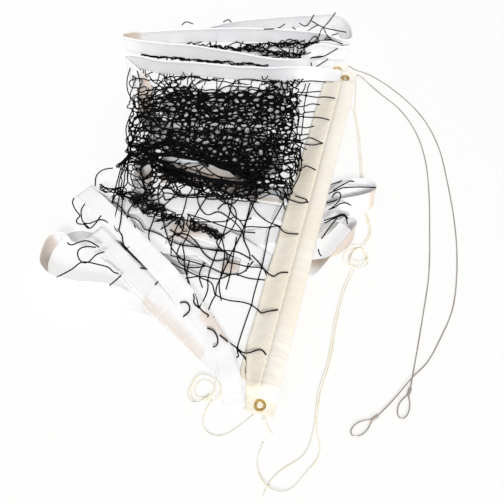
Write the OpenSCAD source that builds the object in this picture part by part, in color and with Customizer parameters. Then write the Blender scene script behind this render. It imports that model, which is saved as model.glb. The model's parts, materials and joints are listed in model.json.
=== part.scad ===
// Volleyball net, folded up and laid on a flat surface.
// One net with a cabled head tape, a bottom tape and two rodded side bands.
// Millimetres, +Z up. The head tape is at +Y and the side bands are at +X.

/* [Netting] */
// Diameter of the knotted twine
twine_d = 3; // [2:0.1:3.4]
// Columns of mesh in the front layer of netting
front_columns = 7; // [4:1:8]
// Columns of mesh in each layer of the pile
pile_columns = 8; // [4:1:9]
// Rows of mesh from the head tape to the bottom tape
mesh_rows = 9; // [6:1:10]
// Free height between two layers of netting
layer_gap = 0.8; // [0.8:0.1:3]
// Height of the pile under its lowest layer of netting
pile_h = 37; // [35:0.5:44]

/* [Tapes] */
// Width of the head tape
head_w = 50; // [44:1:53]
// Width of the bottom tape
bottom_w = 50; // [42:1:54]
// Thickness of the folded bottom tape
bottom_t = 2.4; // [1.6:0.1:2.8]
// Thickness of each wall of the head tape
head_wall = 0.8; // [0.5:0.1:1]

/* [Steel cable] */
// Diameter of the steel cable
cable_d = 3.2; // [2.4:0.1:3.3]
// Play of the cable in the hem of the head tape
cable_play = 0.35; // [0.2:0.05:0.4]
// Diameter of the crimped ferrule
ferrule_d = 8; // [7:0.5:12]
// Length of the crimped ferrule
ferrule_l = 16; // [10:1:22]
// Length of the eye at each end of the cable
eye_l = 54; // [44:1:60]
// Width of the eye
eye_w = 24; // [18:1:30]

/* [Side bands] */
// Length of each side band
band_l = 975; // [960:1:1000]
// Width of the rod sleeve
sleeve_w = 44; // [38:1:46]
// Height of the rod sleeve
sleeve_h = 15.4; // [15:0.1:16]
// Thickness of the canvas
canvas_t = 1.2; // [0.8:0.1:1.4]
// Width of the flat part beside the sleeve
flat_w = 52; // [40:1:56]
// Length of the foot hem, which closes the sleeve
hem_l = 52; // [44:1:60]
// Distance by which the back band lies further up than the front band
band_stagger = 62; // [56:1:70]

/* [Rods] */
// Diameter of the rod in each side band
rod_d = 12; // [8:0.5:12]
// Length of each rod
rod_l = 910; // [860:5:915]

/* [Grommets] */
// Outside diameter of a grommet's flange
grommet_d = 26; // [22:1:30]
// Bore of a grommet
grommet_bore = 13; // [10:0.5:15]
// Thickness of a grommet's flange
flange_t = 0.7; // [0.5:0.1:0.9]

/* [Tie cords] */
// Diameter of the tie cords
cord_d = 4; // [3:0.1:4]
// Free gap between the turns of a wound cord
turn_gap = 0.8; // [0.6:0.1:1.2]
// Radius of the bottom cord's coil inside its turns
coil_r = 16; // [12:1:20]
// Turns in the bottom cord's coil
coil_turns = 3; // [2:1:3]
// Radius of the top cord's bundle inside its turns
bundle_r = 17; // [12:1:22]
// Turns in each of the two layers of the bundle
bundle_turns = 2; // [1:1:3]

/* [Hidden] */

$fn = 32;
white = [0.93, 0.93, 0.95];
cream = [0.87, 0.82, 0.70];
black = [0.05, 0.05, 0.06];
brass = [0.75, 0.60, 0.28];
steel = [0.52, 0.48, 0.43];
wood = [0.72, 0.56, 0.36];
cotton = [0.90, 0.86, 0.76];

// The middle of the part's box, cords left out, as the routes below are laid out
box_mid = [-3.9, 14.9];

// A piece in its colour, moved so that the box's middle is the origin
module paint(c) { color(c) translate([-box_mid[0], -box_mid[1], 0]) children(); }

// ---- Vectors and routes ----

function unit(v) = v / norm(v);
function part3(p) = [p[0], p[1], p[2]];
function step01(x) = let (c = max(0, min(1, x))) c * c * (3 - 2 * c);

// The direction of a route at point i, halfway between its two neighbouring legs
function leg(route, i) = unit(part3(route[i + 1]) - part3(route[i]));
function course(route, i) = i == 0 ? leg(route, 0)
    : i == len(route) - 1 ? leg(route, i - 1)
    : unit(leg(route, i - 1) + leg(route, i));

// A point of the smooth curve from p to q, which leaves along a and arrives along b
function bend(p, q, a, b, t) = let (l = norm(part3(q) - part3(p)),
    place = part3(p) * (1 + 2 * t) * (1 - t) * (1 - t) + part3(q) * t * t * (3 - 2 * t)
            + l * t * (1 - t) * ((1 - t) * a - t * b),
    lean = len(p) > 3 ? [p[3] + (q[3] - p[3]) * t, p[4] + (q[4] - p[4]) * t] : [])
    concat(place, lean);

// Rings needed on a leg: more where it turns by a large angle or the tape twists
function steps(a, b, p, q, fine) = let (turn = acos(max(-1, min(1, a * b))),
    twist = len(p) > 3 ? max(abs(q[4] - p[4]), abs(q[3] - p[3]) * 0.5) : 0)
    1 + floor(turn / fine) + floor(twist / 28);

// A smooth path through a route's points, with a ring for each turn of fine degrees
function smooth(route, fine = 20) = let (last = len(route) - 1)
    concat([for (i = [0 : last - 1])
            let (a = course(route, i), b = course(route, i + 1),
                 n = steps(a, b, route[i], route[i + 1], fine))
            each [for (j = [0 : n - 1]) bend(route[i], route[i + 1], a, b, j / n)]],
           [route[last]]);

// The direction of travel at point i of a path
function travel(path, i) = unit(part3(path[min(len(path) - 1, i + 1)])
                                - part3(path[max(0, i - 1)]));

// Length of a path
function run(path) = let (n = len(path) - 1,
    legs = [for (i = [0 : n - 1]) norm(part3(path[i + 1]) - part3(path[i]))])
    legs * [for (i = [0 : n - 1]) 1];

// Skin of a tube of rings, each with the same number of points, and flat ends
module skin(rings) {
    n = len(rings[0]);
    count = len(rings);
    points = [for (ring = rings, p = ring) p];
    // Both faces of a tape are cut along the same diagonal, so they stay apart where it twists
    sides = [for (i = [0 : count - 2], j = [0 : n - 1]) let (k = (j + 1) % n, a = i * n, b = a + n)
             each j > n / 2 ? [[a + j, a + k, b + j], [a + k, b + k, b + j]]
                            : [[a + j, a + k, b + k], [a + j, b + k, b + j]]];
    z = (count - 1) * n;
    first_end = [for (j = [0 : n / 2 - 2]) each [[j, n - 2 - j, j + 1], [j, n - 1 - j, n - 2 - j]]];
    last_end = [for (f = first_end) [z + f[0], z + f[2], z + f[1]]];
    polyhedron(points, concat(sides, first_end, last_end), convexity = 6);
}

// ---- Cords and cables ----

// One ring of a round cord that travels along t through p
function cord_ring(p, t, r, sides) =
    let (side = unit(cross(t, [0, 0, 1])), up = cross(side, t))
    [for (k = [0 : sides - 1]) let (a = 360 * (k + (sides % 4 == 0 ? 0.5 : 0)) / sides)
     p + r * (cos(a) * side + sin(a) * up)];

module cord(path, d, sides = 8) {
    r = d / 2;
    skin([for (i = [0 : len(path) - 1]) cord_ring(part3(path[i]), travel(path, i), r, sides)]);
}

// ---- Tapes ----
// A tape's route holds rows [x, y, z, a, e]. x, y and z are its middle line.
// a and e are the direction in which its top edge lies: the angle in plan and the rise.

function top_way(row) = [cos(row[4]) * cos(row[3]), cos(row[4]) * sin(row[3]), sin(row[4])];

// One ring of a tape, from its section's points [across, along the width]
function tape_ring(row, t, section) =
    let (w = top_way(row), up = unit(w - (w * t) * t), across = cross(t, up))
    [for (q = section) part3(row) + q[0] * across + q[1] * up];

// A ring that would dip under the ground is lifted onto it
function grounded(ring) = let (low = min([for (q = ring) q[2]]))
    [for (q = ring) q + [0, 0, max(0, -low)]];

// One node's length of a tape: from one cut of its path to the next
module tape_length(path, section, cuts, k) {
    skin([for (i = [cuts[k] : cuts[k + 1]]) grounded(tape_ring(path[i], travel(path, i), section))]);
}

// The head tape is doubled over the cable: thin along its lower edge, with a bead where the cable lies
cable_hem_t = cable_d + 2 * cable_play + 2 * head_wall;
cable_y = head_w / 2 - cable_hem_t / 2 - 0.5;
hem_r = cable_d / 2 + cable_play;
head_section = [[-head_wall, -head_w / 2], [head_wall, -head_w / 2], [cable_hem_t / 2, cable_y],
                [head_wall, head_w / 2], [-head_wall, head_w / 2], [-cable_hem_t / 2, cable_y]];
bottom_section = [[-bottom_t / 2, -bottom_w / 2], [bottom_t / 2, -bottom_w / 2],
                  [bottom_t / 2, bottom_w / 2], [-bottom_t / 2, bottom_w / 2]];

// ---- Side bands ----
// Band coordinates: +X across to the right, +Y from foot to head, +Z up.

foot_at = [103, -605];
band_turn = -15.4;
back_z = 4;
seat = 0.3;
rod_rise = canvas_t + seat;
patch_z = back_z + sleeve_h + seat + cable_hem_t / 2;
front_z = patch_z + cable_hem_t / 2 + seat - rod_rise;

module in_band(along = 0, z = 0) {
    translate([foot_at[0], foot_at[1], 0]) rotate([0, 0, band_turn]) translate([0, along, z]) children();
}

// A point in the row's frame from a place in band coordinates
function band_point(across, along, z) = [foot_at[0] + across * cos(band_turn) - along * sin(band_turn),
                                         foot_at[1] + across * sin(band_turn) + along * cos(band_turn), z];

// Lens of two arcs, w wide and h high, standing on z = 0
module lens(w, h) {
    r = (w * w + h * h) / (4 * h);
    translate([0, h / 2]) intersection() {
        translate([0, r - h / 2]) circle(r, $fn = 120);
        translate([0, h / 2 - r]) circle(r, $fn = 120);
    }
}

// Section of the band: the sleeve with its bore, and the flat part falling by drop to the left
module band_section(drop) {
    difference() {
        lens(sleeve_w, sleeve_h);
        translate([0, canvas_t]) lens(sleeve_w - 8 * canvas_t, sleeve_h - 2 * canvas_t);
    }
    tip = -sleeve_w / 2 + 2 * canvas_t;
    steps = 8;
    top = [for (i = [0 : steps]) let (u = i / steps)
           [tip - u * flat_w, sleeve_h / 2 + canvas_t - drop * step01(u)]];
    under = [for (i = [steps : -1 : 0]) top[i] - [0, 2 * canvas_t]];
    polygon(concat(top, under));
}

module along_band(length) {
    rotate([90, 0, 0]) mirror([0, 0, 1]) linear_extrude(length) children();
}

hem_w = 62;
// The hem is the canvas turned in
hem_t = 1.4 * canvas_t;
front_drop = front_z - 5;
back_drop = back_z - 1;

// The foot hem: canvas that falls by drop from the sleeve's end and then lies flat
module foot_hem(across, width, rise, drop, at, bore) {
    slope = [for (i = [0 : 6]) let (u = i / 6)
             [hem_l - u * (hem_l - grommet_d - 8), rise - drop * step01(u)]];
    low = rise - drop;
    upper = concat(slope, [[0, low]]);
    lower = [for (i = [len(upper) - 1 : -1 : 0]) upper[i] - [0, hem_t]];
    difference() {
        translate([across - width / 2, 0, 0]) rotate([90, 0, 90]) linear_extrude(width)
            polygon(concat(upper, lower));
        translate([at[0], at[1], low - 10]) cylinder(h = 20, r = bore);
    }
}

grommet_y = grommet_d / 2 + 5;
foot_hole_front = [-11, grommet_y];
foot_hole_back = [-45, grommet_y];
tube_wall = 0.8;
hole_r = grommet_bore / 2 + tube_wall + 0.3;
hem_top_front = 4.6;
hem_top_back = 3;

module side_band_front() {
    paint(cream) in_band(0, 0) {
        difference() {
            translate([0, hem_l, front_z]) along_band(band_l - hem_l) band_section(front_drop);
            // The flat part narrows towards the foot
            translate([-sleeve_w / 2 - flat_w - 10, hem_l - 10, -5]) rotate([0, 0, 34])
                translate([-60, -60, 0]) cube([100, 118, 60]);
        }
        foot_hem(-hem_w / 2 + sleeve_w / 2, hem_w, front_z + hem_t, front_z + hem_t - hem_top_front,
                 foot_hole_front, hole_r);
    }
}

module side_band_back() {
    paint(cream) in_band(band_stagger, 0) {
        translate([0, hem_l, back_z]) along_band(band_l - hem_l) band_section(back_drop);
        foot_hem(-hem_w / 2 + sleeve_w / 2 - 22, hem_w + 22, back_z + hem_t, back_z + hem_t - hem_top_back,
                 foot_hole_back, hole_r);
    }
}

module rod(z) {
    translate([0, hem_l + 2, z + rod_rise + rod_d / 2]) rotate([-90, 0, 0])
        cylinder(h = rod_l, r = rod_d / 2);
}
module rod_front() { paint(wood) in_band() rod(front_z); }
module rod_back() { paint(wood) in_band(band_stagger) rod(back_z); }

// ---- Grommets ----
// Two flanges on a tube that lines the hole. z is the middle of the canvas, grip its thickness.

module grommet(grip) {
    difference() {
        union() {
            cylinder(h = grip + 2 * flange_t + 0.1, r = grommet_bore / 2 + tube_wall, center = true);
            for (s = [-1, 1]) translate([0, 0, s * (grip / 2 + 0.05 + flange_t / 2)])
                cylinder(h = flange_t, r = grommet_d / 2, center = true);
        }
        cylinder(h = grip + 4 * flange_t + 1, r = grommet_bore / 2, center = true);
    }
}

// ---- Folds ----
// A stack of flat runs of tape at one y, from x_a to x_b and back, each pitch above the last.

function stack(x_a, x_b, y, z, pitch, runs, az) = let (r = abs(pitch) / 2)
    [for (k = [0 : runs - 1])
     let (from = k % 2 == 0 ? x_a : x_b, to = k % 2 == 0 ? x_b : x_a, way = sign(to - from),
          zk = z + k * pitch)
     each concat([[from, y, zk, az, 0], [to, y, zk, az, 0]],
                 k < runs - 1 ? [for (a = [45, 90, 135]) [to + way * r * sin(a), y,
                                 zk + pitch / 2 * (1 - cos(a)), az, 0]] : [])];

// A half turn in plan about [x, y], from the angle a round by way * 180; az is the tape's lean before it
function turn(x, y, r, z, a, way, az) = [for (q = [30 : 30 : 150])
    [x + r * cos(a + way * q), y + r * sin(a + way * q), z, az + way * q, 0]];

// A sharp fold at [x, y] towards the angle way, from z0 to z1
function fold(x, y, z0, z1, way, az) = [for (q = [0 : 45 : 180]) let (r = abs(z1 - z0) / 2)
    [x + r * sin(q) * cos(way), y + r * sin(q) * sin(way), z0 + (z1 - z0) / 2 * (1 - cos(q)), az, 0]];

fold_left = -140;
fold_right = 125;
head_pitch = cable_hem_t + 0.7;
head_flat_z = cable_hem_t / 2 + seat;
head_top_z = head_flat_z + 4 * head_pitch;

// The two ends of the head tape lie flat in line with their patches
patch_turn = -16;
patch_l = 44;
patch_front_at = [367, 365];
patch_back_at = [352, 426];
function off_patch(at, along, z) = [at[0] + along * cos(patch_turn), at[1] + along * sin(patch_turn), z,
                                    90 + patch_turn, 0];
patch_end = -patch_l / 2 - seat;

head_front_rows = smooth([
    off_patch(patch_front_at, patch_end, patch_z), off_patch(patch_front_at, patch_end - 22, patch_z),
    [298, 381, patch_z + 1, 86, 4], [250, 374, 28, 90, 40], [200, 367, 35, 90, 75], [145, 366, 37, 90, 90],
    [57, 370, 37, 90, 90], [-65, 385, 37, 90, 90], [-200, 401, 37, 90, 90], [-275, 421, 37, 90, 90],
    [-297, 420, 36, 90, 85], [-286, 396, 33, 60, 70], [-258, 360, 27, 30, 50], [-238, 325, 19, 10, 25],
    [-227, 285, 11, 5, 8], [-222, 245, 6, 5, 0], [-207, 206, head_flat_z, 30, 0],
    [-172, 188, head_flat_z, 75, 0]]);
head_inner_rows = concat(
    stack(fold_left, fold_right, 188, head_flat_z, head_pitch, 5, 90),
    turn(fold_right, 216.5, 28.5, head_top_z, -90, 1, 90),
    stack(fold_right, fold_left, 245, head_top_z, -head_pitch, 5, 270),
    turn(fold_left, 274, 29, head_flat_z, -90, -1, 270),
    stack(fold_left, fold_right, 303, head_flat_z, head_pitch, 5, 90));
head_middle_rows = concat(smooth([
    [150, 307, 22, 105, 0], [162, 327, 12, 160, 0], [162, 350, 4.8, 180, 0],
    [162, 375, head_flat_z, 180, 0],
    [164, 412, head_flat_z, 176, 0], [178, 440, head_flat_z, 135, 0], [210, 453, head_flat_z, 92, 0],
    [246, 461, 14, 90, 32], [280, 474, 33, 90, 80], [335, 464, 34, 90, 88], [366, 462, 34, 90, 88],
    [378, 471, 34, 90, 88], [366, 480, 33, 90, 88], [335, 484, 32, 90, 84], [286, 496, 22, 90, 50],
    [238, 509, 8, 90, 12], [190, 511, head_flat_z, 90, 0], [-150, 511, head_flat_z, 90, 0]]),
    turn(-150, 539.5, 28.5, head_flat_z, -90, -1, 90), [[-150, 568, head_flat_z, -90, 0]]);
head_back_rows = smooth([
    [-110, 578, 9, -90, 22], [-50, 585, 24, -90, 65], [56, 601, 29, -90, 84], [183, 619, 29, -90, 82],
    [282, 630, 29, -80, 80], [325, 634, 30, -50, 72], [362, 608, 30, 0, 62], [379, 560, 30, 10, 60],
    [381, 514, 30, 10, 66], [369, 492, 32, 60, 78], [342, 503, 33, 90, 88], [306, 524, 33, 90, 90],
    [180, 545, 33, 90, 90], [80, 552, 33, 90, 90], [-60, 550, 33, 90, 90], [-200, 540, 33, 90, 90],
    [-290, 529, 34, 90, 90], [-312, 521, 35, 90, 89]]);
head_end_rows = smooth([
    [-318, 513, 36, 90, 88], [-312, 505, 36, 90, 89], [-290, 497, 37, 90, 90], [-203, 477, 37, 90, 90],
    [-96, 464, 37, 90, 90], [24, 436, 37, 90, 90], [146, 405, 37, 90, 90], [228, 401, 36, 90, 80],
    [258, 420, 22, 90, 40], [284, 436, 6, 86, 6], off_patch(patch_back_at, patch_end - 22, head_flat_z),
    off_patch(patch_back_at, patch_end, head_flat_z)]);
head_path = concat(head_front_rows, head_inner_rows, head_middle_rows, head_back_rows, head_end_rows);

// Where each node of a tape starts and ends among its path's rows
function total(n, k) = k < 0 ? 0 : n[k] + total(n, k - 1);
function cuts_of(parts) = let (n = [for (p = parts) len(p)], last = len(parts) - 1)
    [for (k = [0 : last + 1]) total(n, k - 1) - (k > last ? 1 : 0)];
head_cuts = cuts_of([head_front_rows, head_inner_rows, head_middle_rows, head_back_rows, head_end_rows]);

flat_z = bottom_t / 2;
bottom_right = 108;
bottom_left = -160;
bottom_pitch = bottom_t + 1.2;
fold_top_z = flat_z + 5 * bottom_pitch;

bottom_front_rows = concat(smooth([
    [44, -590, flat_z, 5, 0], [40, -562, 3, 5, 0], [33, -530, 7.5, 10, 0], [22, -485, 8.5, 20, 0],
    [-8, -435, 12, 38, 2], [-60, -362, 20, 45, 4], [-110, -300, 24, 45, 5], [-200, -203, 27, 45, 5],
    [-290, -112, 28, 45, 4], [-348, -55, 27, 45, 0]], 22), fold(-350, -53, 27, 21, 135, 45));
bottom_middle_rows = concat(smooth([
    [-346, -57, 21, 45, 0], [-315, -80, 20, 52, 0], [-270, -97, 18, 70, 0], [-210, -93, 19, 88, 0],
    [-150, -84, 22, 92, 0],
    [-40, -95, 24, 86, 0], [50, -106, 21, 86, 0], [110, -108, 12, 89, 0], [148, -107, 2.6, 90, 0],
    [166, -107, flat_z, 90, 0], [262, -106, flat_z, 90, 0], [278, -105, 3, 90, 8], [306, -102, 16, 90, 42],
    [345, -97, 28, 90, 75], [380, -84, 29.4, 90, 86], [391, -66, 29.4, 90, 86], [375, -46, 29.4, 90, 84],
    [336, -41, 25, 90, 62], [308, -46, 9, 90, 20], [286, -49, flat_z, 90, 0],
    [150, -50, flat_z, 90, 0]], 22));
bottom_folds_rows = concat(smooth([
    [80, -38, flat_z, 98, 0], [0, -14, flat_z, 106, 0], [-60, 8, flat_z, 102, 0],
    [-112, 15, flat_z, 90, 0]], 22),
    // The first run's right end is left out: the tape comes in from above it
    [for (p = stack(bottom_right, bottom_left, 15, flat_z, bottom_pitch, 6, 90))
     if (p[0] < -150 || p[2] > 2) p],
    turn(bottom_right, 45, 30, fold_top_z, -90, 1, 90),
    stack(bottom_right, bottom_left, 75, fold_top_z, -bottom_pitch, 6, 270),
    turn(bottom_right, 104.5, 29.5, flat_z, -90, 1, 270),
    stack(bottom_right, bottom_left, 134, flat_z, bottom_pitch, 5, 450));
bottom_loops_rows = concat(smooth([
    [-188, 128, 15, 475, 0], [-206, 95, 13, 540, 0], [-208, 30, 9, 540, 0], [-208, -40, 7, 540, 0],
    [-206, -108, 7, 560, 0], [-170, -150, 12, 605, 0], [-105, -158, 17, 622, 0], [-45, -172, 20, 614, 0],
    [30, -202, 19, 608, 0], [82, -232, 12, 608, 0], [120, -250, 4, 618, 0], [160, -262, flat_z, 624, 0],
    [218, -268, flat_z, 632, 0], [248, -256, 12, 640, 35], [288, -228, 24, 640, 72],
    [324, -186, 26, 640, 84],
    [332, -163, 26, 640, 86], [314, -146, 26, 640, 84], [288, -150, 17, 632, 48], [262, -158, 4.5, 630, 8],
    [240, -163, flat_z, 630, 0], [150, -170, flat_z, 628, 0], [60, -182, flat_z, 626, 0],
    [-20, -184, flat_z, 627, 0], [-70, -180, flat_z, 626, 0], [-120, -176, flat_z, 625, 0]], 22),
    fold(-130, -175.2, flat_z, 6.4, 175.4, 625.4), smooth([
    [-118, -176.2, 6.6, 625, 0], [-86, -184, 10, 614, 0], [-34, -218, 12, 598, 0], [12, -252, 9, 604, 0],
    [40, -264, 6.4, 618, 0]], 22), fold(52, -266, 6, flat_z, -10, 620),
    smooth([[40, -263.9, flat_z, 620, 0], [10, -260, flat_z, 624, 0]], 22));
bottom_left_rows = smooth([
    [-30, -258, flat_z, 628, 0], [-80, -256, flat_z, 624, 0], [-150, -247, flat_z, 614, 0],
    [-230, -222, flat_z, 608, 0], [-300, -196, flat_z, 610, 0], [-346, -184, 12, 612, 28],
    [-378, -186, 24, 620, 72], [-398, -206, 26, 630, 86], [-406, -240, 26, 640, 88],
    [-402, -275, 26, 640, 88],
    [-376, -304, 26, 640, 88], [-320, -319, 26, 640, 86]], 22);
bottom_back_rows = concat(smooth([
    [-285, -328, 24, 795, 78], [-252, -337, 14, 795, 42], [-222, -346, 5, 792, 8],
    [-190, -354, flat_z, 788, 0],
    [-150, -366, flat_z, 780, 0], [-115, -385, flat_z, 771, 0], [-96, -404, flat_z, 765, 0]], 22),
    fold(-93, -407, flat_z, 6, -45, 765), smooth([
    [-96, -404, 6, 765, 0], [-126, -374, 11, 765, 3], [-204, -285, 13, 765, 0],
    [-304, -178, 15, 765, 0]], 22),
    fold(-307, -175, 15, 19.5, 135, 765), smooth([
    [-304, -178, 19.5, 765, 0], [-200, -281, 18, 765, 0], [-112, -374, 16, 765, 3], [-52, -438, 8, 763, 0],
    [-8, -482, 3, 757, 0], [33, -516.5, flat_z, 750, 0]], 22));
bottom_path = concat(bottom_front_rows, bottom_middle_rows, bottom_folds_rows, bottom_loops_rows,
                     bottom_left_rows, bottom_back_rows);
bottom_cuts = cuts_of([bottom_front_rows, bottom_middle_rows, bottom_folds_rows, bottom_loops_rows,
                       bottom_left_rows, bottom_back_rows]);

module head_tape_front() { paint(white) tape_length(head_path, head_section, head_cuts, 0); }
module head_tape_inner() { paint(white) tape_length(head_path, head_section, head_cuts, 1); }
module head_tape_middle() { paint(white) tape_length(head_path, head_section, head_cuts, 2); }
module head_tape_back() { paint(white) tape_length(head_path, head_section, head_cuts, 3); }
module head_tape_end() { paint(white) tape_length(head_path, head_section, head_cuts, 4); }
module bottom_tape_front() { paint(white) tape_length(bottom_path, bottom_section, bottom_cuts, 0); }
module bottom_tape_middle() { paint(white) tape_length(bottom_path, bottom_section, bottom_cuts, 1); }
module bottom_tape_folds() { paint(white) tape_length(bottom_path, bottom_section, bottom_cuts, 2); }
module bottom_tape_loops() { paint(white) tape_length(bottom_path, bottom_section, bottom_cuts, 3); }
module bottom_tape_left() { paint(white) tape_length(bottom_path, bottom_section, bottom_cuts, 4); }
module bottom_tape_back() { paint(white) tape_length(bottom_path, bottom_section, bottom_cuts, 5); }

// ---- Patches at the ends of the head tape ----

patch_hole = [-8, -3];
// Half the patch's thickness where no cable runs in it
patch_h = 0.9;

module at_patch(at, z) {
    translate([at[0], at[1], z]) rotate([0, 0, patch_turn]) children();
}

module head_patch() {
    difference() {
        translate([-patch_l / 2, 0, 0]) rotate([90, 0, 90]) linear_extrude(patch_l) difference() {
            polygon([[-head_w / 2, -patch_h], [10, -patch_h], [cable_y - 3, -cable_hem_t / 2],
                     [cable_y + 2, -cable_hem_t / 2], [head_w / 2, -1.2], [head_w / 2, 1.2],
                     [cable_y + 2, cable_hem_t / 2], [cable_y - 3, cable_hem_t / 2], [10, patch_h],
                     [-head_w / 2, patch_h]]);
            translate([cable_y, 0]) circle(hem_r);
        }
        translate([patch_hole[0], patch_hole[1], -5]) cylinder(h = 10, r = hole_r);
    }
}
module head_patch_front() { paint(cream) at_patch(patch_front_at, patch_z) head_patch(); }
module head_patch_back() { paint(cream) at_patch(patch_back_at, head_flat_z) head_patch(); }

module head_grommet_front() {
    paint(brass) at_patch(patch_front_at, patch_z) translate(patch_hole) grommet(2 * patch_h);
}
module head_grommet_back() {
    paint(brass) at_patch(patch_back_at, head_flat_z) translate(patch_hole) grommet(2 * patch_h);
}
module foot_grommet_front() {
    paint(brass) in_band(foot_hole_front[1], hem_top_front - hem_t / 2)
        translate([foot_hole_front[0], 0, 0]) grommet(hem_t);
}
module foot_grommet_back() {
    paint(brass) in_band(band_stagger + foot_hole_back[1], hem_top_back - hem_t / 2)
        translate([foot_hole_back[0], 0, 0]) grommet(hem_t);
}

// ---- Netting ----
// knots[i][j] are the places of a net's knots. Each twine is a bar with a sharp top.

function knot_way(knots, i, j, di, dj) =
    let (a = knots[min(len(knots) - 1, i + di)][min(len(knots[0]) - 1, j + dj)],
         b = knots[max(0, i - di)][max(0, j - dj)]) unit(a - b);

module net(knots) {
    n = len(knots);
    m = len(knots[0]);
    h = twine_d / 2;
    // Five points a knot: four round its foot and one on top
    points = [for (i = [0 : n - 1], j = [0 : m - 1])
              let (u = knot_way(knots, i, j, 1, 0) * h, v = knot_way(knots, i, j, 0, 1) * h,
              p = knots[i][j],
                   foot = p - [0, 0, h])
              each [foot - u - v, foot + u - v, foot + u + v, foot - u + v, p + [0, 0, h]]];
    function at(i, j, c) = (i * m + j) * 5 + c;
    feet = [for (i = [0 : n - 1], j = [0 : m - 1])
            each [[at(i, j, 0), at(i, j, 1), at(i, j, 2)], [at(i, j, 0), at(i, j, 2), at(i, j, 3)]]];
    across = [for (i = [0 : n - 2], j = [0 : m - 1])
              each bar(at(i, j, 1), at(i, j, 2), at(i, j, 4), at(i + 1, j, 0), at(i + 1, j, 3),
              at(i + 1, j, 4))];
    along = [for (i = [0 : n - 1], j = [0 : m - 2])
             each bar(at(i, j, 2), at(i, j, 3), at(i, j, 4), at(i, j + 1, 1), at(i, j + 1, 0), at(i,
             j + 1, 4))];
    rims = concat([for (j = [0 : m - 1]) each [[at(0, j, 0), at(0, j, 3), at(0, j, 4)],
                                               [at(n - 1, j, 2), at(n - 1, j, 1), at(n - 1, j, 4)]]],
                  [for (i = [0 : n - 1]) each [[at(i, 0, 1), at(i, 0, 0), at(i, 0, 4)],
                                               [at(i, m - 1, 3), at(i, m - 1, 2), at(i, m - 1, 4)]]]);
    paint(black) polyhedron(points, concat(feet, across, along, rims), convexity = 10);
}

// Faces of the bar between two knots, from its right and left foot and its top at each end
function bar(r0, l0, t0, r1, l1, t1) =
    [[l0, r0, r1], [l0, r1, l1], [r0, t0, t1], [r0, t1, r1], [t0, l0, l1], [t0, l1, t1]];

// The left edge of the front band's canvas in plan
function band_edge(y, gap) = foot_at[0] + (y - foot_at[1]) * tan(-band_turn) - gap / cos(band_turn);
band_reach = sleeve_w / 2 - 2 * canvas_t + flat_w;

// The netting's edge lies beside the canvas
net_reach = band_reach + twine_d / 2 + seat * 2;

// The netting heaped over the folded tapes: layer k
module pile(k) {
    net([for (i = [0 : pile_columns]) [for (j = [0 : mesh_rows])
        let (u = i / pile_columns, v = j / mesh_rows, y = -32 + 362 * v,
             x_left = -250 + max(0, y - 272) * 1.3, x_right = band_edge(y, band_reach + 62),
             x = x_left + (x_right - x_left) * u,
             side = step01((x - x_left) / 35) * step01((x_right - x) / 45),
             ends = step01((y + 32) / 30) * step01((330 - y) / 25))
        [x, y, pile_h - 4.5 + 4.5 * side * ends + k * (twine_d + layer_gap)]]]);
}
module net_pile_lower() { pile(0); }
module net_pile_middle() { pile(1); }
module net_pile_upper() { pile(2); }

// The topmost netting, from the head tape down to the bottom tape
function front_height(x, y) =
    let (right = step01((band_edge(y, band_reach + 2) - x) / 40),
         heap = step01((x + 300) / 40) * right * step01((y + 100) / 45) * step01((358 - y) / 12),
         middle = step01((x + 230) / 50) * right * step01((y + 370) / 60),
         left = step01((-60 - x) / 100) * step01((y + 200) / 20 + 2))
    max(15 + (pile_h + 5) * heap, 15 + 17 * middle, 15 + 18 * left);

module net_front() {
    net([for (i = [0 : front_columns]) [for (j = [0 : mesh_rows + 1])
        let (u = i / front_columns, v = lookup(j / mesh_rows, [[0, 0], [1, 0.97], [1.12, 1]]),
             foot = [lookup(u, [[0, -320], [0.35, -181], [0.72, -40], [1, band_edge(-414, net_reach)]]),
                     lookup(u, [[0, -38], [0.35, -179], [0.72, -338], [1, -414]])],
             head = [lookup(u, [[0, -200], [0.3, -60], [0.6, 90], [0.8, 190],
                                [1, band_edge(335, net_reach)]]),
                     lookup(u, [[0, 388], [0.3, 374], [0.6, 358], [0.8, 354], [1, 335]])],
             p = foot + (head - foot) * v)
        [p[0], p[1], front_height(p[0], p[1])]]]);
}

// ---- Cables ----

module ferrule(at, turn, z) {
    paint(steel) translate([at[0], at[1], z]) rotate([0, 90, turn])
        linear_extrude(ferrule_l, center = true) circle(ferrule_d / 2);
}

// Places on the axis of a ferrule, along from its middle
function off_ferrule(at, turn, along, z) = [at[0] + along * cos(turn), at[1] + along * sin(turn), z];

// The cable's eye beyond the ferrule: out and back, wide by eye_w
function eye_path(at, turn, z) = let (f = ferrule_l / 2 + seat)
    [for (q = [[0, 2.1], [4, 2.3], [14, 0.32 * eye_w], [30, 0.5 * eye_w], [44, 0.4 * eye_w],
               [eye_l - 2, 0.16 * eye_w], [eye_l - 2, -0.16 * eye_w], [44, -0.4 * eye_w],
               [30, -0.5 * eye_w], [14, -0.32 * eye_w], [4, -2.3], [0, -2.1]])
     off_ferrule(at, turn, f + q[0], z) + [-q[1] * sin(turn), q[1] * cos(turn), 0]];

cable_ground = cable_d / 2;
ferrule_z = ferrule_d / 2;
ferrule_back_at = [330, -609];
ferrule_back_turn = 213;
ferrule_front_at = [408, -556];
ferrule_front_turn = 244;
function hem_exit(p) = [p[0] + cable_y * cos(p[3]), p[1] + cable_y * sin(p[3]), p[2]];

// The length of cable inside a patch, and on to its right edge
function in_patch(at, z) = [for (a = [1 - patch_l, 4]) hem_exit(off_patch(at, patch_l / 2 + a, z))];
function at_height(points, z) = [for (p = points) [p[0], p[1], z]];

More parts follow.
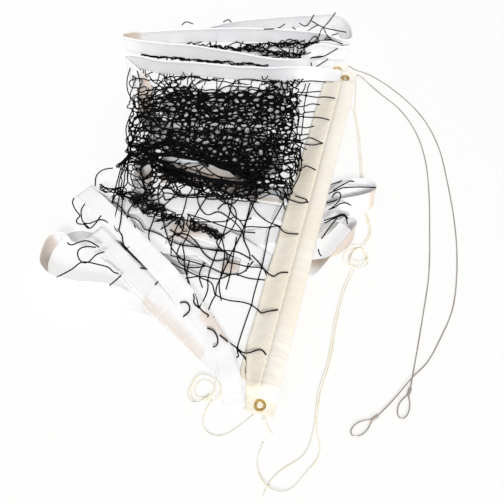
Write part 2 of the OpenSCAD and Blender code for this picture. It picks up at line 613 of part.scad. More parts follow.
module cable_tail_back() {
    loop = [[392, 431], [439, 404], [510, 330], [569, 229], [595, 119], [596, -12], [586, -162],
            [565, -279], [536, -371], [497, -438], [455, -496]];
    over = [[418, -528, cable_ground + cable_d + 1], [376, -570, 4]];
    end = off_ferrule(ferrule_back_at, ferrule_back_turn, -ferrule_l / 2 - seat, ferrule_z);
    paint(steel) cord(concat(in_patch(patch_back_at, head_flat_z), at_height(loop, cable_ground), over,
                             [end]), cable_d);
}
module cable_tail_front() {
    fall = [[411, 371, patch_z - 4], [434, 353, 8]];
    loop = [[466, 317], [510, 257], [542, 168], [551, 76], [544, -22], [525, -144], [497, -287],
            [469, -378], [443, -458], [427, -505], [418, -532]];
    end = off_ferrule(ferrule_front_at, ferrule_front_turn, -ferrule_l / 2 - seat, ferrule_z);
    paint(steel) cord(concat(in_patch(patch_front_at, patch_z), fall, at_height(loop, cable_ground), [end]),
                      cable_d);
}
module ferrule_front() { ferrule(ferrule_front_at, ferrule_front_turn, ferrule_z); }
module ferrule_back() { ferrule(ferrule_back_at, ferrule_back_turn, ferrule_z); }
module cable_eye_front() {
    paint(steel) cord(eye_path(ferrule_front_at, ferrule_front_turn, ferrule_z), cable_d);
}
module cable_eye_back() {
    paint(steel) cord(eye_path(ferrule_back_at, ferrule_back_turn, ferrule_z), cable_d);
}

// ---- Tie cords ----

cord_z = cord_d / 2;
wound_pitch = cord_d + turn_gap;

function on_ground(points) = [for (p = points) [p[0], p[1], len(p) > 2 ? p[2] : cord_z]];

// A wound cord round at: turns outward on the ground, then, with two layers, back inward on top
function wound(at, r, turns, layers, start) =
    [for (n = [0 : 24 * turns * layers])
     let (out = min(n, 48 * turns - n), a = start - 15 * n,
          up = layers < 2 ? 0 : step01((n - 24 * turns + 3) / 6),
          q = r + cord_d / 2 + wound_pitch * out / 24)
     [at[0] + q * cos(a), at[1] + q * sin(a), cord_z + up * wound_pitch]];

// A straight end of one cord's width beyond p, away from the point before it and drawn in towards at
function end_of(p, before, at, inward) =
    p + cord_d * unit(unit(p - before) - inward * unit([p[0] - at[0], p[1] - at[1], 0]));
function with_ends(path, at, inward) = let (n = len(path) - 1)
    concat([end_of(path[0], path[1], at, 0.6)], path, [end_of(path[n], path[n - 1], at, inward)]);

// Least gap of a wound cord to itself, over places more than a third of a turn apart
function self_gap(path) =
    min([for (i = [0 : len(path) - 10], j = [i + 9 : len(path) - 1]) norm(path[i] - path[j])]) - cord_d;

coil_at = [-22, -549];
bundle_at = [336, -236];
bundle_start = 200;
coil_path = with_ends(wound(coil_at, coil_r, coil_turns, 1, -40), coil_at, 0);
bundle_path = with_ends(wound(bundle_at, bundle_r, bundle_turns, 2, bundle_start), bundle_at, 0.6);
echo(coil_gap = self_gap(coil_path), bundle_gap = self_gap(bundle_path));

module bottom_cord_coil() { paint(cotton) cord(coil_path, cord_d, 6); }
module top_cord_bundle() { paint(cotton) cord(bundle_path, cord_d, 6); }

// Two strands beside each other along one route, each off to its own side
function strand(route, off) = [for (i = [0 : len(route) - 1])
    let (t = travel(route, i)) route[i] + off * [-t[1], t[0], 0]];
strand_off = cord_d / 2 + seat;
// The place at the angle a where a cord's end meets the outermost turn of the bundle
function by_bundle(a) =
    let (turns = bundle_turns - (a - bundle_start + 720) % 360 / 360,
         reach = bundle_r + cord_d + wound_pitch * turns + 2 * seat)
    [bundle_at[0] + reach * cos(a), bundle_at[1] + reach * sin(a), cord_z];

lead_route = on_ground([[378, 245], [380, 170], [377, 98], [372, 7], [367, -89], [374, -165], [360, -193]]);
tail_route = on_ground([[294, -323], [269, -400], [246, -494], [221, -560], [208, -630]]);

module top_lead_left() {
    paint(cotton) cord(concat(on_ground([[357, 306]]), strand(lead_route, -strand_off), [by_bundle(80)]),
                       cord_d);
}
module top_lead_right() {
    paint(cotton) cord(concat(on_ground([[396, 366], [386, 300]]), strand(lead_route, strand_off),
                              [by_bundle(62)]), cord_d);
}
module top_tail_left() {
    paint(cotton) cord(concat([by_bundle(236)], strand(tail_route, -strand_off),
                              on_ground([[186, -677], [137, -708], [111, -733], [102, -754]])), cord_d);
}
module top_tail_right() {
    paint(cotton) cord(concat([by_bundle(252)], strand(tail_route, strand_off),
                              on_ground([[214, -678], [187, -710], [149, -744], [117, -741, 7],
                                         [97, -721, 7], [91, -695], [103, -656]])), cord_d);
}

knot_r = 4.6;
knot_l = 9;
knot_turn = -63;
knot_at = [106.2, -612.1];
module bottom_cord_lead() {
    paint(cotton) cord(on_ground([[85, -602.7], [61, -622], [19, -645], [-13, -635], [-19, -612],
    [-11, -590],
                                  [-1, -573.5]]), cord_d);
}
module bottom_cord_tail() {
    start = knot_at + (knot_l / 2 + seat) * [cos(knot_turn), sin(knot_turn)];
    paint(cotton) cord(on_ground([start, [112, -625], [121, -640]]), cord_d);
}
module bottom_cord_knot() {
    paint(cotton) translate([knot_at[0], knot_at[1], knot_r + 0.2]) rotate([0, 90, knot_turn])
        intersection() {
            cylinder(h = knot_l, r = knot_r, center = true);
            sphere(knot_l * 0.6);
        }
}

echo(head_tape_length = run(head_path), bottom_tape_length = run(bottom_path));

head_tape_front();
head_tape_inner();
head_tape_middle();
head_tape_back();
head_tape_end();
head_patch_front();
head_patch_back();
net_front();
net_pile_lower();
net_pile_middle();
net_pile_upper();
bottom_tape_front();
bottom_tape_middle();
bottom_tape_folds();
bottom_tape_loops();
bottom_tape_left();
bottom_tape_back();
side_band_front();
side_band_back();
rod_front();
rod_back();
head_grommet_front();
head_grommet_back();
foot_grommet_front();
foot_grommet_back();
cable_tail_front();
cable_tail_back();
ferrule_front();
ferrule_back();
cable_eye_front();
cable_eye_back();
top_lead_left();
top_lead_right();
top_cord_bundle();
top_tail_left();
top_tail_right();
bottom_cord_knot();
bottom_cord_tail();
bottom_cord_lead();
bottom_cord_coil();
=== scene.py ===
import json
import math

import bpy
import bmesh
import numpy as np
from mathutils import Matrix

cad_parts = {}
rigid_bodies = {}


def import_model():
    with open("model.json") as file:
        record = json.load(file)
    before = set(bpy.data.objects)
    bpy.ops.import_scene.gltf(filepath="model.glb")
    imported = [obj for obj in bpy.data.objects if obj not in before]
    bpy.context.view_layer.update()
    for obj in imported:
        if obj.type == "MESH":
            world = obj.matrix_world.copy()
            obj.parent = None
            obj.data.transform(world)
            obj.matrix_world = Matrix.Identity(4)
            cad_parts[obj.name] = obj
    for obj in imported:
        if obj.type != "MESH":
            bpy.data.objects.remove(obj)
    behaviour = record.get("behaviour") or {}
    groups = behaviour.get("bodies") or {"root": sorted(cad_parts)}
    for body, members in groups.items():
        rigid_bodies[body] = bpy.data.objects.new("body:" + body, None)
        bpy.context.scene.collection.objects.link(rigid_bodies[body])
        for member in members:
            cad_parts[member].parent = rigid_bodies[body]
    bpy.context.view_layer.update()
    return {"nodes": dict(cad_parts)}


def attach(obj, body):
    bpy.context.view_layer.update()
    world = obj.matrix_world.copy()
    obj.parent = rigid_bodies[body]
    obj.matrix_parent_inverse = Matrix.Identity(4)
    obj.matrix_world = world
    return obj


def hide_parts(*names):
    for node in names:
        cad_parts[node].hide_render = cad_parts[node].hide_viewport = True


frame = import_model()

bl_info = {
    "name": "Folded volleyball net",
    "version": (1, 0, 0),
    "blender": (4, 5, 0),
    "location": "View3D > Sidebar > Net",
    "description": "Dresses a folded volleyball net with its tapes, netting, side bands, cables and cords",
    "category": "Object",
}

# The layout's millimetres start at this point of the frame
MIDDLE = np.array([-3.9, 14.9, 0.0])
BODY = "net"


def place(points):
    """Points of the layout, in millimetres, as points of the frame in metres."""
    return (np.asarray(points, float)[..., :3] - MIDDLE) / 1000.0


# ---------------------------------------------------------------- routes

def unit(v):
    """v at length 1, or each of its rows."""
    v = np.asarray(v, float)
    return v / np.maximum(np.linalg.norm(v, axis=-1, keepdims=True), 1e-12)


def smooth(rows, per_leg=10):
    """A smooth path through a route's rows, per_leg places on each leg. Columns after z go in step."""
    rows = np.array(rows, float)
    legs = unit(np.diff(rows[:, :3], axis=0))
    ways = unit(np.vstack([legs[:1], legs[:-1] + legs[1:], legs[-1:]]))
    out = []
    for p, q, a, b in zip(rows[:-1], rows[1:], ways[:-1], ways[1:]):
        reach = np.linalg.norm(q[:3] - p[:3])
        for t in np.arange(per_leg) / per_leg:
            spot = (p[:3] * (1 + 2 * t) * (1 - t) ** 2 + q[:3] * t * t * (3 - 2 * t)
                    + reach * t * (1 - t) * ((1 - t) * a - t * b))
            out.append(np.concatenate([spot, p[3:] + (q[3:] - p[3:]) * t]))
    return out + [rows[-1]]


def spaced(rows, pitch):
    """The same path with its places pitch apart."""
    rows = np.array(rows, float)
    run = np.concatenate([[0], np.cumsum(np.linalg.norm(np.diff(rows[:, :3], axis=0), axis=1))])
    keep = np.concatenate([[True], np.diff(run) > 1e-6])
    rows, run = rows[keep], run[keep]
    marks = np.linspace(0, run[-1], max(2, int(round(run[-1] / pitch)) + 1))
    return np.stack([np.interp(marks, run, rows[:, k]) for k in range(rows.shape[1])], axis=1)


def eased(rows, width):
    """The path with its corners and twists softened over width places; its ends stay."""
    rows = np.array(rows, float)
    span = np.arange(-3 * width, 3 * width + 1)
    bell = np.exp(-0.5 * (span / width) ** 2)
    bell /= bell.sum()
    pad = len(span) // 2
    long = np.vstack([2 * rows[0] - rows[1:pad + 1][::-1], rows, 2 * rows[-1] - rows[-pad - 1:-1][::-1]])
    soft = np.stack([np.convolve(long[:, k], bell, "valid") for k in range(rows.shape[1])], axis=1)
    soft[0], soft[-1] = rows[0], rows[-1]
    return soft


def ways_of(points):
    """Directions of travel along a path."""
    return unit(np.gradient(np.asarray(points, float)[:, :3], axis=0))


def run_of(points):
    """How far along a path each of its points lies."""
    p = np.asarray(points, float)[:, :3]
    return np.concatenate([[0], np.cumsum(np.linalg.norm(np.diff(p, axis=0), axis=1))])


def step01(x):
    """A soft step: 0 below 0, 1 above 1."""
    x = np.clip(x, 0, 1)
    return x * x * (3 - 2 * x)


def waves(s, seed, length, count=5):
    """Even, repeatable unevenness along s, about -1 to 1, in lengths near length."""
    rng = np.random.default_rng(seed)
    total = np.zeros_like(np.asarray(s, float))
    for _ in range(count):
        total += np.sin(2 * math.pi * s / (length * rng.uniform(0.5, 1.8)) + rng.uniform(0, 7))
    return total / count ** 0.5 / 1.3


def stack(x_a, x_b, y, z, pitch, runs, az):
    """Flat runs of tape at one y, from x_a to x_b and back, each pitch above the last."""
    out = []
    for k in range(runs):
        start, end = (x_a, x_b) if k % 2 == 0 else (x_b, x_a)
        way, zk, r = np.sign(end - start), z + k * pitch, abs(pitch) / 2
        out += [[start, y, zk, az, 0], [end, y, zk, az, 0]]
        if k < runs - 1:
            out += [[end + way * r * math.sin(a), y, zk + pitch / 2 * (1 - math.cos(a)), az, 0]
                    for a in np.radians([45, 90, 135])]
    return out


def turn(x, y, r, z, a, way, az):
    """A half turn in plan about x, y."""
    return [[x + r * math.cos(math.radians(a + way * q)), y + r * math.sin(math.radians(a + way * q)), z,
             az + way * q, 0] for q in range(30, 151, 30)]


def fold(x, y, z0, z1, way, az):
    """A sharp fold at x, y towards the angle way, from z0 to z1."""
    r, w = abs(z1 - z0) / 2, math.radians(way)
    return [[x + r * math.sin(q) * math.cos(w), y + r * math.sin(q) * math.sin(w),
             z0 + (z1 - z0) / 2 * (1 - math.cos(q)), az, 0] for q in np.radians([0, 45, 90, 135, 180])]


def from_spot(at, degrees, along, side=0.0):
    """The place along mm from at in a direction, and side mm to its left."""
    a = math.radians(degrees)
    return at[0] + along * math.cos(a) - side * math.sin(a), at[1] + along * math.sin(a) + side * math.cos(a)


# ---------------------------------------------------------------- meshes

def shown(name, data):
    """A new object that holds data, linked to the scene."""
    piece = bpy.data.objects.new(name, data)
    bpy.context.scene.collection.objects.link(piece)
    return piece


def new_mesh(name, verts, faces, smooth_faces=True, uv=None):
    """A mesh object at the origin. uv holds one pair for each face corner."""
    mesh = bpy.data.meshes.new(name)
    mesh.from_pydata([tuple(v) for v in np.asarray(verts, float)], [], [tuple(f) for f in faces])
    if uv is not None:
        layer = mesh.uv_layers.new(name="Cloth")
        layer.data.foreach_set("uv", np.asarray(uv, np.float32).ravel())
    mesh.polygons.foreach_set("use_smooth", [smooth_faces] * len(mesh.polygons))
    mesh.validate()
    mesh.update()
    return shown(name, mesh)


def baked(piece, modifier):
    """The piece's plain mesh with its modifier done. The modifier is removed."""
    bpy.context.view_layer.update()
    mesh = bpy.data.meshes.new_from_object(piece.evaluated_get(bpy.context.evaluated_depsgraph_get()))
    piece.modifiers.remove(modifier)
    return mesh


def volume_of(verts, quads):
    """Six times the volume inside the quads, below 0 where they face inwards."""
    a, b, c, d = (verts[quads[:, k]] for k in range(4))
    return float(np.einsum("ij,ij->", a, np.cross(b, c)) + np.einsum("ij,ij->", a, np.cross(c, d)))


def skin(name, rings):
    """A closed skin over rings of points in metres, with flat ends. Its map runs along, then round."""
    rings = np.asarray(rings, float)
    n, m = rings.shape[:2]
    i, j = (g.ravel() for g in np.meshgrid(np.arange(n - 1), np.arange(m), indexing="ij"))
    k = (j + 1) % m
    quads = np.stack([i * m + j, i * m + k, (i + 1) * m + k, (i + 1) * m + j], axis=1)
    along = run_of(rings.mean(axis=1))
    sides = np.linalg.norm(np.roll(rings, -1, axis=1) - rings, axis=2).mean(axis=0)
    around = np.concatenate([[0], np.cumsum(sides)])
    uv = np.stack([np.stack([along[i + a], around[j + b]], -1) for a, b in ((0, 0), (0, 1), (1, 1), (1, 0))], axis=1)
    first, last = np.arange(m)[::-1], np.arange(m)
    if volume_of(rings.reshape(-1, 3), quads) < 0:
        quads, uv, first, last = quads[:, ::-1], uv[:, ::-1], first[::-1], last[::-1]
    ends = [[[along[0], around[q]] for q in first], [[along[-1], around[q]] for q in last]]
    faces = quads.tolist() + [first.tolist(), (last + (n - 1) * m).tolist()]
    return new_mesh(name, rings.reshape(-1, 3), faces, uv=np.concatenate([uv.reshape(-1, 2), ends[0], ends[1]]))


def lathe(name, profile, at, axis=(0, 0, 1), steps=40, closed=False):
    """A turned piece: profile holds [radius, height] in mm round the axis through at, in mm."""
    axis = unit(axis)
    side = unit(np.cross(axis, [0.3, 0.9, 0.1]))
    back = np.cross(axis, side)
    profile = np.array(profile, float)
    turns = np.linspace(0, 2 * math.pi, steps, endpoint=False)
    rings = np.array([[place(np.asarray(at) + r * (math.cos(t) * side + math.sin(t) * back) + h * axis)
                       for t in turns] for r, h in profile])
    if not closed:
        return skin(name, rings)
    n, m = rings.shape[:2]
    faces = [[i * m + j, i * m + (j + 1) % m, (i + 1) % n * m + (j + 1) % m, (i + 1) % n * m + j]
             for i in range(n) for j in range(m)]
    piece = new_mesh(name, rings.reshape(-1, 3), faces)
    outward(piece)
    return piece


def outward(piece):
    """Merges doubles and turns all faces of a closed piece outwards."""
    work = bmesh.new()
    work.from_mesh(piece.data)
    bmesh.ops.remove_doubles(work, verts=work.verts, dist=1e-6)
    bmesh.ops.recalc_face_normals(work, faces=work.faces)
    work.to_mesh(piece.data)
    work.free()


def tube_rings(points, radius, sides=10, lobes=0, depth=0.0, lay=0.02):
    """Rings of a round cord. With lobes it is laid from that many strands, one turn in lay metres."""
    points = np.asarray(points, float)
    t = ways_of(points)
    side = np.zeros_like(points)
    side[0] = unit(np.cross(t[0], [0.02, 0.03, 1.0]))
    for i in range(1, len(points)):
        side[i] = unit(side[i - 1] - t[i] * (side[i - 1] @ t[i]))
    up = np.cross(side, t)
    s = run_of(points)
    angle = np.linspace(0, 2 * math.pi, sides, endpoint=False)
    twist = 2 * math.pi * s[:, None] / lay if lobes else 0
    r = radius * (1 + depth * (np.cos(lobes * (angle[None] - twist)) - 1) / 2) if lobes else radius
    r = np.broadcast_to(r, (len(points), sides))
    return (points[:, None] + r[..., None] * (np.cos(angle)[None, :, None] * side[:, None]
                                              + np.sin(angle)[None, :, None] * up[:, None]))


def finish_piece(piece, material, replaces=()):
    """The steps that every finished piece takes."""
    if material is not None:
        piece.data.materials.clear()
        piece.data.materials.append(material)
    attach(piece, BODY)
    if replaces:
        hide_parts(*replaces)
    return piece


# ---------------------------------------------------------------- shader maths

class Wire:
    """A socket in a node tree, on which +, - and * add Math nodes."""

    def __init__(self, board, socket):
        self.board, self.socket = board, socket

    def maths(self, operation, a, b):
        return self.board.node("ShaderNodeMath", {"operation": operation}, {0: a, 1: b})

    def __add__(self, other):
        return self.maths("ADD", self, other)

    def __radd__(self, other):
        return self.maths("ADD", other, self)

    def __sub__(self, other):
        return self.maths("SUBTRACT", self, other)

    def __rsub__(self, other):
        return self.maths("SUBTRACT", other, self)

    def __mul__(self, other):
        return self.maths("MULTIPLY", self, other)

    def __rmul__(self, other):
        return self.maths("MULTIPLY", other, self)

    def most(self, other):
        return self.maths("MAXIMUM", self, other)

    def beside(self, name):
        """Another output of the same node."""
        return Wire(self.board, self.socket.node.outputs[name])


class Board:
    """A node tree under construction."""

    def __init__(self, tree):
        self.tree = tree

    def put(self, target, value):
        """Links one wire or several to a socket, or sets the socket's own value."""
        if isinstance(value, Wire) or isinstance(value, list):
            for wire in value if isinstance(value, list) else [value]:
                self.tree.links.new(wire.socket, target)
        elif isinstance(value, tuple) and len(value) == 3 and len(getattr(target, "default_value", "")) == 4:
            target.default_value = (*value, 1.0)
        else:
            target.default_value = value

    def node(self, kind, settings, inputs, output=0):
        """Adds a node, with its settings first, and gives the wire of one output."""
        made = self.tree.nodes.new(kind)
        for key, value in settings.items():
            setattr(made, key, value)
        for key, value in inputs.items():
            self.put(made.inputs[key], value)
        return Wire(self, made.outputs[output])


class Paint(Board):
    """A material under construction."""

    def __init__(self, name, **fixed):
        self.material = bpy.data.materials.new(name)
        self.material.use_nodes = True
        super().__init__(self.material.node_tree)
        self.tree.nodes.clear()
        self.out = self.tree.nodes.new("ShaderNodeOutputMaterial")
        self.shader = self.tree.nodes.new("ShaderNodeBsdfPrincipled")
        self.tree.links.new(self.shader.outputs[0], self.out.inputs[0])
        self.into(**fixed)

    def objects(self):
        return self.node("ShaderNodeTexCoord", {}, {}, "Object")

    def cloth_map(self):
        return self.node("ShaderNodeUVMap", {"uv_map": "Cloth"}, {}, "UV")

    def tone_and_shade(self):
        """How far each point takes the second colour, which paints shade: warm shade on the tapes, and on the canvas
        shade with its flap's golden tone.
        """
        return self.node("ShaderNodeAttribute", {"attribute_name": "tone_and_shade"}, {}, "Fac")

    def mapped(self, vector, stretch, turned=(0.0, 0.0, 0.0)):
        return self.node("ShaderNodeMapping", {}, {"Vector": vector, "Rotation": turned, "Scale": stretch})

    def noise(self, vector, scale, detail=3.0, roughness=0.5, stretch=None):
        if stretch is not None:
            vector = self.mapped(vector, stretch)
        return self.node("ShaderNodeTexNoise", {}, {"Vector": vector, "Scale": scale, "Detail": detail,
                                                   "Roughness": roughness}, "Fac")

    def threads(self, vector, way, scale, waver):
        """Even threads that run one way, wavering a little."""
        return self.node("ShaderNodeTexWave", {"wave_type": "BANDS", "bands_direction": way},
                         {"Vector": vector, "Scale": scale, "Distortion": waver})

    def mix(self, share, a, b):
        """Colours a and b, mixed by share."""
        return self.node("ShaderNodeMix", {"data_type": "RGBA"}, {0: share, 6: a, 7: b}, 2)

    def band(self, value, low, high):
        """0 below low, 1 above high."""
        return self.node("ShaderNodeMapRange", {"interpolation_type": "SMOOTHSTEP"},
                         {"Value": value, "From Min": low, "From Max": high, "To Min": 0.0, "To Max": 1.0})

    def bump(self, height, distance, strength=1.0, below=None):
        inputs = {"Height": height, "Distance": distance, "Strength": strength}
        if below is not None:
            inputs["Normal"] = below
        return self.node("ShaderNodeBump", {}, inputs, "Normal")

    def into(self, **wires):
        for socket, value in wires.items():
            self.put(self.shader.inputs[socket.replace("_", " ")], value)
        return self.material


# ---------------------------------------------------------------- finishes

def tape_cloth(look):
    """Coated white tape: satin, with a fine weave, soft cross creases, a little grime and painted warm shade."""
    p = Paint("white_tape", Specular_IOR_Level=0.35, Sheen_Weight=0.15)
    uv = p.cloth_map()
    spot = p.objects()
    weave = p.threads(uv, "X", 160.0, 0.6) * p.threads(uv, "Y", 160.0, 0.6)
    creases = p.noise(uv, 14.0, 4.0, 0.6, stretch=(3.0, 0.7, 1.0))
    soft = p.noise(spot, 9.0, 2.0)
    grime = p.band(p.noise(spot, 23.0, 5.0, 0.65), 0.55, 0.85)
    shade = p.mix(soft, tuple(look.tape_colour), (0.86, 0.87, 0.91))
    grimed_and_shaded = p.mix(grime * 0.35, shade, (0.66, 0.60, 0.52))
    # Painted shade: marked places of the tape go warm beige where they lie in shadow
    grimed_and_shaded = p.mix(p.tone_and_shade() * (0.75 + 0.25 * soft), grimed_and_shaded, (0.72, 0.61, 0.52))
    bump = p.bump(creases, 0.003, 0.55, p.bump(weave, 0.00012, 0.5))
    return p.into(Base_Color=grimed_and_shaded, Roughness=0.42 + 0.2 * soft, Normal=bump)


def canvas_cloth(look):
    """Unbleached canvas with its plain weave, slubs, puckers, yellowed patches and painted shade."""
    p = Paint("cream_canvas", Specular_IOR_Level=0.2, Sheen_Weight=0.25)
    uv = p.cloth_map()
    spot = p.objects()
    weave = p.threads(uv, "X", 120.0, 1.2) + p.threads(uv, "Y", 120.0, 1.2)
    slub = p.noise(uv, 60.0, 3.0, 0.6, stretch=(6.0, 0.6, 1.0))
    patches = p.band(p.noise(spot, 7.0, 3.0), 0.38, 0.72)
    rub = p.band(p.noise(spot, 38.0, 4.0, 0.7), 0.5, 0.9)
    puckers = p.noise(uv, 22.0, 3.0, 0.55, stretch=(2.4, 0.5, 1.0))
    base = p.mix(patches, tuple(look.canvas_colour), (0.90, 0.845, 0.735))
    base = p.mix(rub * 0.4, base, (0.95, 0.92, 0.85))
    base = p.mix(slub * 0.2, base, (0.80, 0.70, 0.54))
    mottle = p.noise(spot, 16.0, 4.0, 0.6)
    folds = p.band(p.noise(uv, 26.0, 3.0, 0.6, stretch=(1.0, 0.12, 1.0)), 0.42, 0.7)
    # Painted shade: the marked seam crease, right-hand fold and sloping flap go golden brown, mottled and with darker
    # fold streaks; on the flap this is partly its own golden tone
    base = p.mix(p.tone_and_shade() * (0.25 + 0.45 * mottle + 0.35 * folds), base, (0.90, 0.83, 0.69))
    bump = p.bump(puckers, 0.0035, 0.5, p.bump(weave, 0.00018, 0.6))
    return p.into(Base_Color=base, Roughness=0.78 + 0.12 * slub, Normal=bump)


def twine_finish(look):
    """Black twisted twine, faintly shiny along its lay."""
    p = Paint("black_twine", Specular_IOR_Level=0.08)
    spot = p.objects()
    lay = p.noise(spot, 420.0, 2.0, 0.6)
    dust = p.band(p.noise(spot, 30.0, 4.0), 0.55, 0.85)
    base = p.mix(dust * 0.5, tuple(look.twine_colour), (0.014, 0.012, 0.022))
    return p.into(Base_Color=base, Roughness=0.62 + 0.2 * lay, Normal=p.bump(lay, 0.0006, 0.7))


def thread_finish(look):
    """Pale sewing thread."""
    p = Paint("seam_thread", Specular_IOR_Level=0.3)
    fleck = p.noise(p.objects(), 500.0, 2.0)
    return p.into(Base_Color=p.mix(fleck, (0.70, 0.66, 0.58), (0.88, 0.86, 0.80)), Roughness=0.6,
                  Normal=p.bump(fleck, 0.0003, 0.5))


def steel_finish(look):
    """Stranded steel, dulled and a little rusty between its strands."""
    p = Paint("steel_cable", Anisotropic=0.2)
    spot = p.objects()
    streak = p.noise(spot, 160.0, 3.0, 0.6)
    rust = p.band(p.noise(spot, 45.0, 5.0, 0.7), 0.48, 0.75)
    base = p.mix(streak, (0.46, 0.41, 0.36), (0.68, 0.62, 0.56))
    base = p.mix(rust * 0.6, base, (0.27, 0.16, 0.09))
    return p.into(Base_Color=base, Metallic=0.95 - 0.5 * rust, Roughness=0.34 + 0.3 * rust + 0.1 * streak,
                  Normal=p.bump(streak, 0.0002, 0.5))


def brass_finish(look):
    """Stamped brass, bright on its rim and brown where it is tarnished."""
    p = Paint("brass")
    spot = p.objects()
    mottle = p.noise(spot, 90.0, 5.0, 0.65)
    tarnish = p.band(mottle, 0.45, 0.72)
    scratch = p.noise(spot, 300.0, 2.0, 0.5, stretch=(5.0, 0.4, 1.0))
    base = p.mix(tarnish, tuple(look.brass_colour), (0.36, 0.22, 0.08))
    return p.into(Base_Color=base, Metallic=1.0 - 0.25 * tarnish, Roughness=0.22 + 0.3 * tarnish + 0.1 * scratch,
                  Normal=p.bump(scratch, 0.0001, 0.4))


def cotton_finish(look):
    """Braided cotton: pale, matt, with the braid's small checks."""
    p = Paint("cotton_cord", Specular_IOR_Level=0.15, Sheen_Weight=0.3)
    uv = p.cloth_map()
    check = (p.threads(uv, "DIAGONAL", 110.0, 0.4)
             * p.threads(p.mapped(uv, (1.0, -1.0, 1.0)), "DIAGONAL", 110.0, 0.4))
    soil = p.band(p.noise(p.objects(), 26.0, 4.0), 0.4, 0.8)
    base = p.mix(soil, tuple(look.cotton_colour), (0.90, 0.81, 0.60))
    base = p.mix(check * 0.25, base, (0.97, 0.95, 0.88))
    return p.into(Base_Color=base, Roughness=0.8 + 0.1 * soil, Normal=p.bump(check, 0.0005, 0.8))


def wood_finish(look):
    """Plain turned dowel with its grain along the rod."""
    p = Paint("wood", Specular_IOR_Level=0.3)
    spot = p.mapped(p.objects(), (1.0, 0.05, 1.0), (0.0, 0.0, math.radians(-BAND_TURN)))
    grain = p.noise(spot, 240.0, 5.0, 0.6)
    rings = p.noise(spot, 60.0, 3.0, 0.5)
    base = p.mix(grain, (0.58, 0.41, 0.24), (0.78, 0.62, 0.41))
    base = p.mix(rings * 0.4, base, (0.66, 0.49, 0.30))
    return p.into(Base_Color=base, Roughness=0.55 + 0.2 * grain, Normal=p.bump(grain, 0.0003, 0.6))


FINISHES = {}


def finishes(look):
    """Makes each finish once."""
    if not FINISHES:
        for make in (tape_cloth, canvas_cloth, twine_finish, thread_finish, steel_finish, brass_finish,
                     cotton_finish, wood_finish):
            FINISHES[make.__name__] = make(look)
    return FINISHES


# ---------------------------------------------------------------- node trees

class Growth(Board):
    """Geometry nodes under construction, with named inputs: each a kind of socket and its default."""

    def __init__(self, name, **inputs):
        super().__init__(bpy.data.node_groups.new(name, "GeometryNodeTree"))
        add = self.tree.interface.new_socket
        add("Geometry", in_out="INPUT", socket_type="NodeSocketGeometry")
        add("Geometry", in_out="OUTPUT", socket_type="NodeSocketGeometry")
        self.inputs = {}
        for key, (kind, default) in inputs.items():
            made = add(key.replace("_", " "), in_out="INPUT", socket_type="NodeSocket" + kind)
            if default is not None:
                made.default_value = default
            self.inputs[key] = made.identifier
        self.source = self.tree.nodes.new("NodeGroupInput")

    def given(self, name):
        return Wire(self, self.source.outputs[name])

    def ended(self, geometry):
        """Realize Instances and Set Material, then the output."""
        real = self.node("GeometryNodeRealizeInstances", {}, {0: geometry})
        coat = self.node("GeometryNodeSetMaterial", {}, {"Geometry": real, "Material": self.given("Material")})
        self.put(self.tree.nodes.new("NodeGroupOutput").inputs[0], coat)
        return self


def twine_tree():
    """Tubes along chains of edges, with a knot on each marked point."""
    g = Growth("Knotted twine", Thickness=("Float", 0.0024), Sides=("Int", 5), Knot_size=("Float", 0.0034),
               Seed=("Int", 3), Material=("Material", None))
    ring = g.node("GeometryNodeCurvePrimitiveCircle", {}, {"Radius": g.given("Thickness") * 0.5,
                                                           "Resolution": g.given("Sides")})
    curve = g.node("GeometryNodeMeshToCurve", {}, {0: g.given("Geometry")})
    tube = g.node("GeometryNodeCurveToMesh", {}, {"Curve": curve, "Profile Curve": ring, "Fill Caps": True})
    # A knot is a small faceted ball, turned and sized a little differently each time
    mark = g.node("GeometryNodeInputNamedAttribute", {"data_type": "FLOAT"}, {"Name": "knot"}, "Attribute")
    tied = g.node("FunctionNodeCompare", {"operation": "GREATER_THAN"}, {"A": mark, "B": 0.5})
    ball = g.node("GeometryNodeMeshIcoSphere", {}, {"Subdivisions": 1, "Radius": g.given("Knot size")}, "Mesh")
    spin, size = (g.node("FunctionNodeRandomValue", {"data_type": "FLOAT_VECTOR"},
                         {"Min": low, "Max": high, "Seed": g.given("Seed")}, "Value")
                  for low, high in (((0.0, 0.0, 0.0), (6.28, 6.28, 6.28)), ((0.75, 0.75, 0.6), (1.25, 1.1, 0.9))))
    knots = g.node("GeometryNodeInstanceOnPoints", {}, {"Points": g.given("Geometry"), "Selection": tied,
                                                        "Instance": ball, "Rotation": spin, "Scale": size})
    return g.ended(g.node("GeometryNodeJoinGeometry", {}, {0: [knots, tube]}))


def stitch_tree():
    """Stitches: short threads, evenly spaced along chains of edges."""
    g = Growth("Stitches", Stitch_pitch=("Float", 0.0045), Stitch_length=("Float", 0.0032),
               Thread=("Float", 0.0007), Material=("Material", None))
    curve = g.node("GeometryNodeMeshToCurve", {}, {0: g.given("Geometry")})
    even = g.node("GeometryNodeCurveToPoints", {"mode": "LENGTH"},
                  {"Curve": curve, "Length": g.given("Stitch pitch")}, "Points")
    thread = g.node("GeometryNodeMeshCylinder", {}, {"Vertices": 6, "Side Segments": 1, "Radius": g.given("Thread"),
                                                     "Depth": g.given("Stitch length")}, "Mesh")
    return g.ended(g.node("GeometryNodeInstanceOnPoints", {}, {"Points": even, "Instance": thread,
                                                               "Rotation": even.beside("Rotation")}))


TREES = {}


def grown(name, source, maker, material, **values):
    """Runs a node tree on source and gives its plain mesh as a new object; source is removed."""
    if maker.__name__ not in TREES:
        TREES[maker.__name__] = maker()
    growth = TREES[maker.__name__]
    modifier = source.modifiers.new("Nodes", "NODES")
    modifier.node_group = growth.tree
    for key, value in (*values.items(), ("Material", material)):
        modifier[growth.inputs[key]] = value
    mesh = baked(source, modifier)
    bpy.data.objects.remove(source)
    mesh.name = name
    mesh.polygons.foreach_set("use_smooth", [True] * len(mesh.polygons))
    return shown(name, mesh)


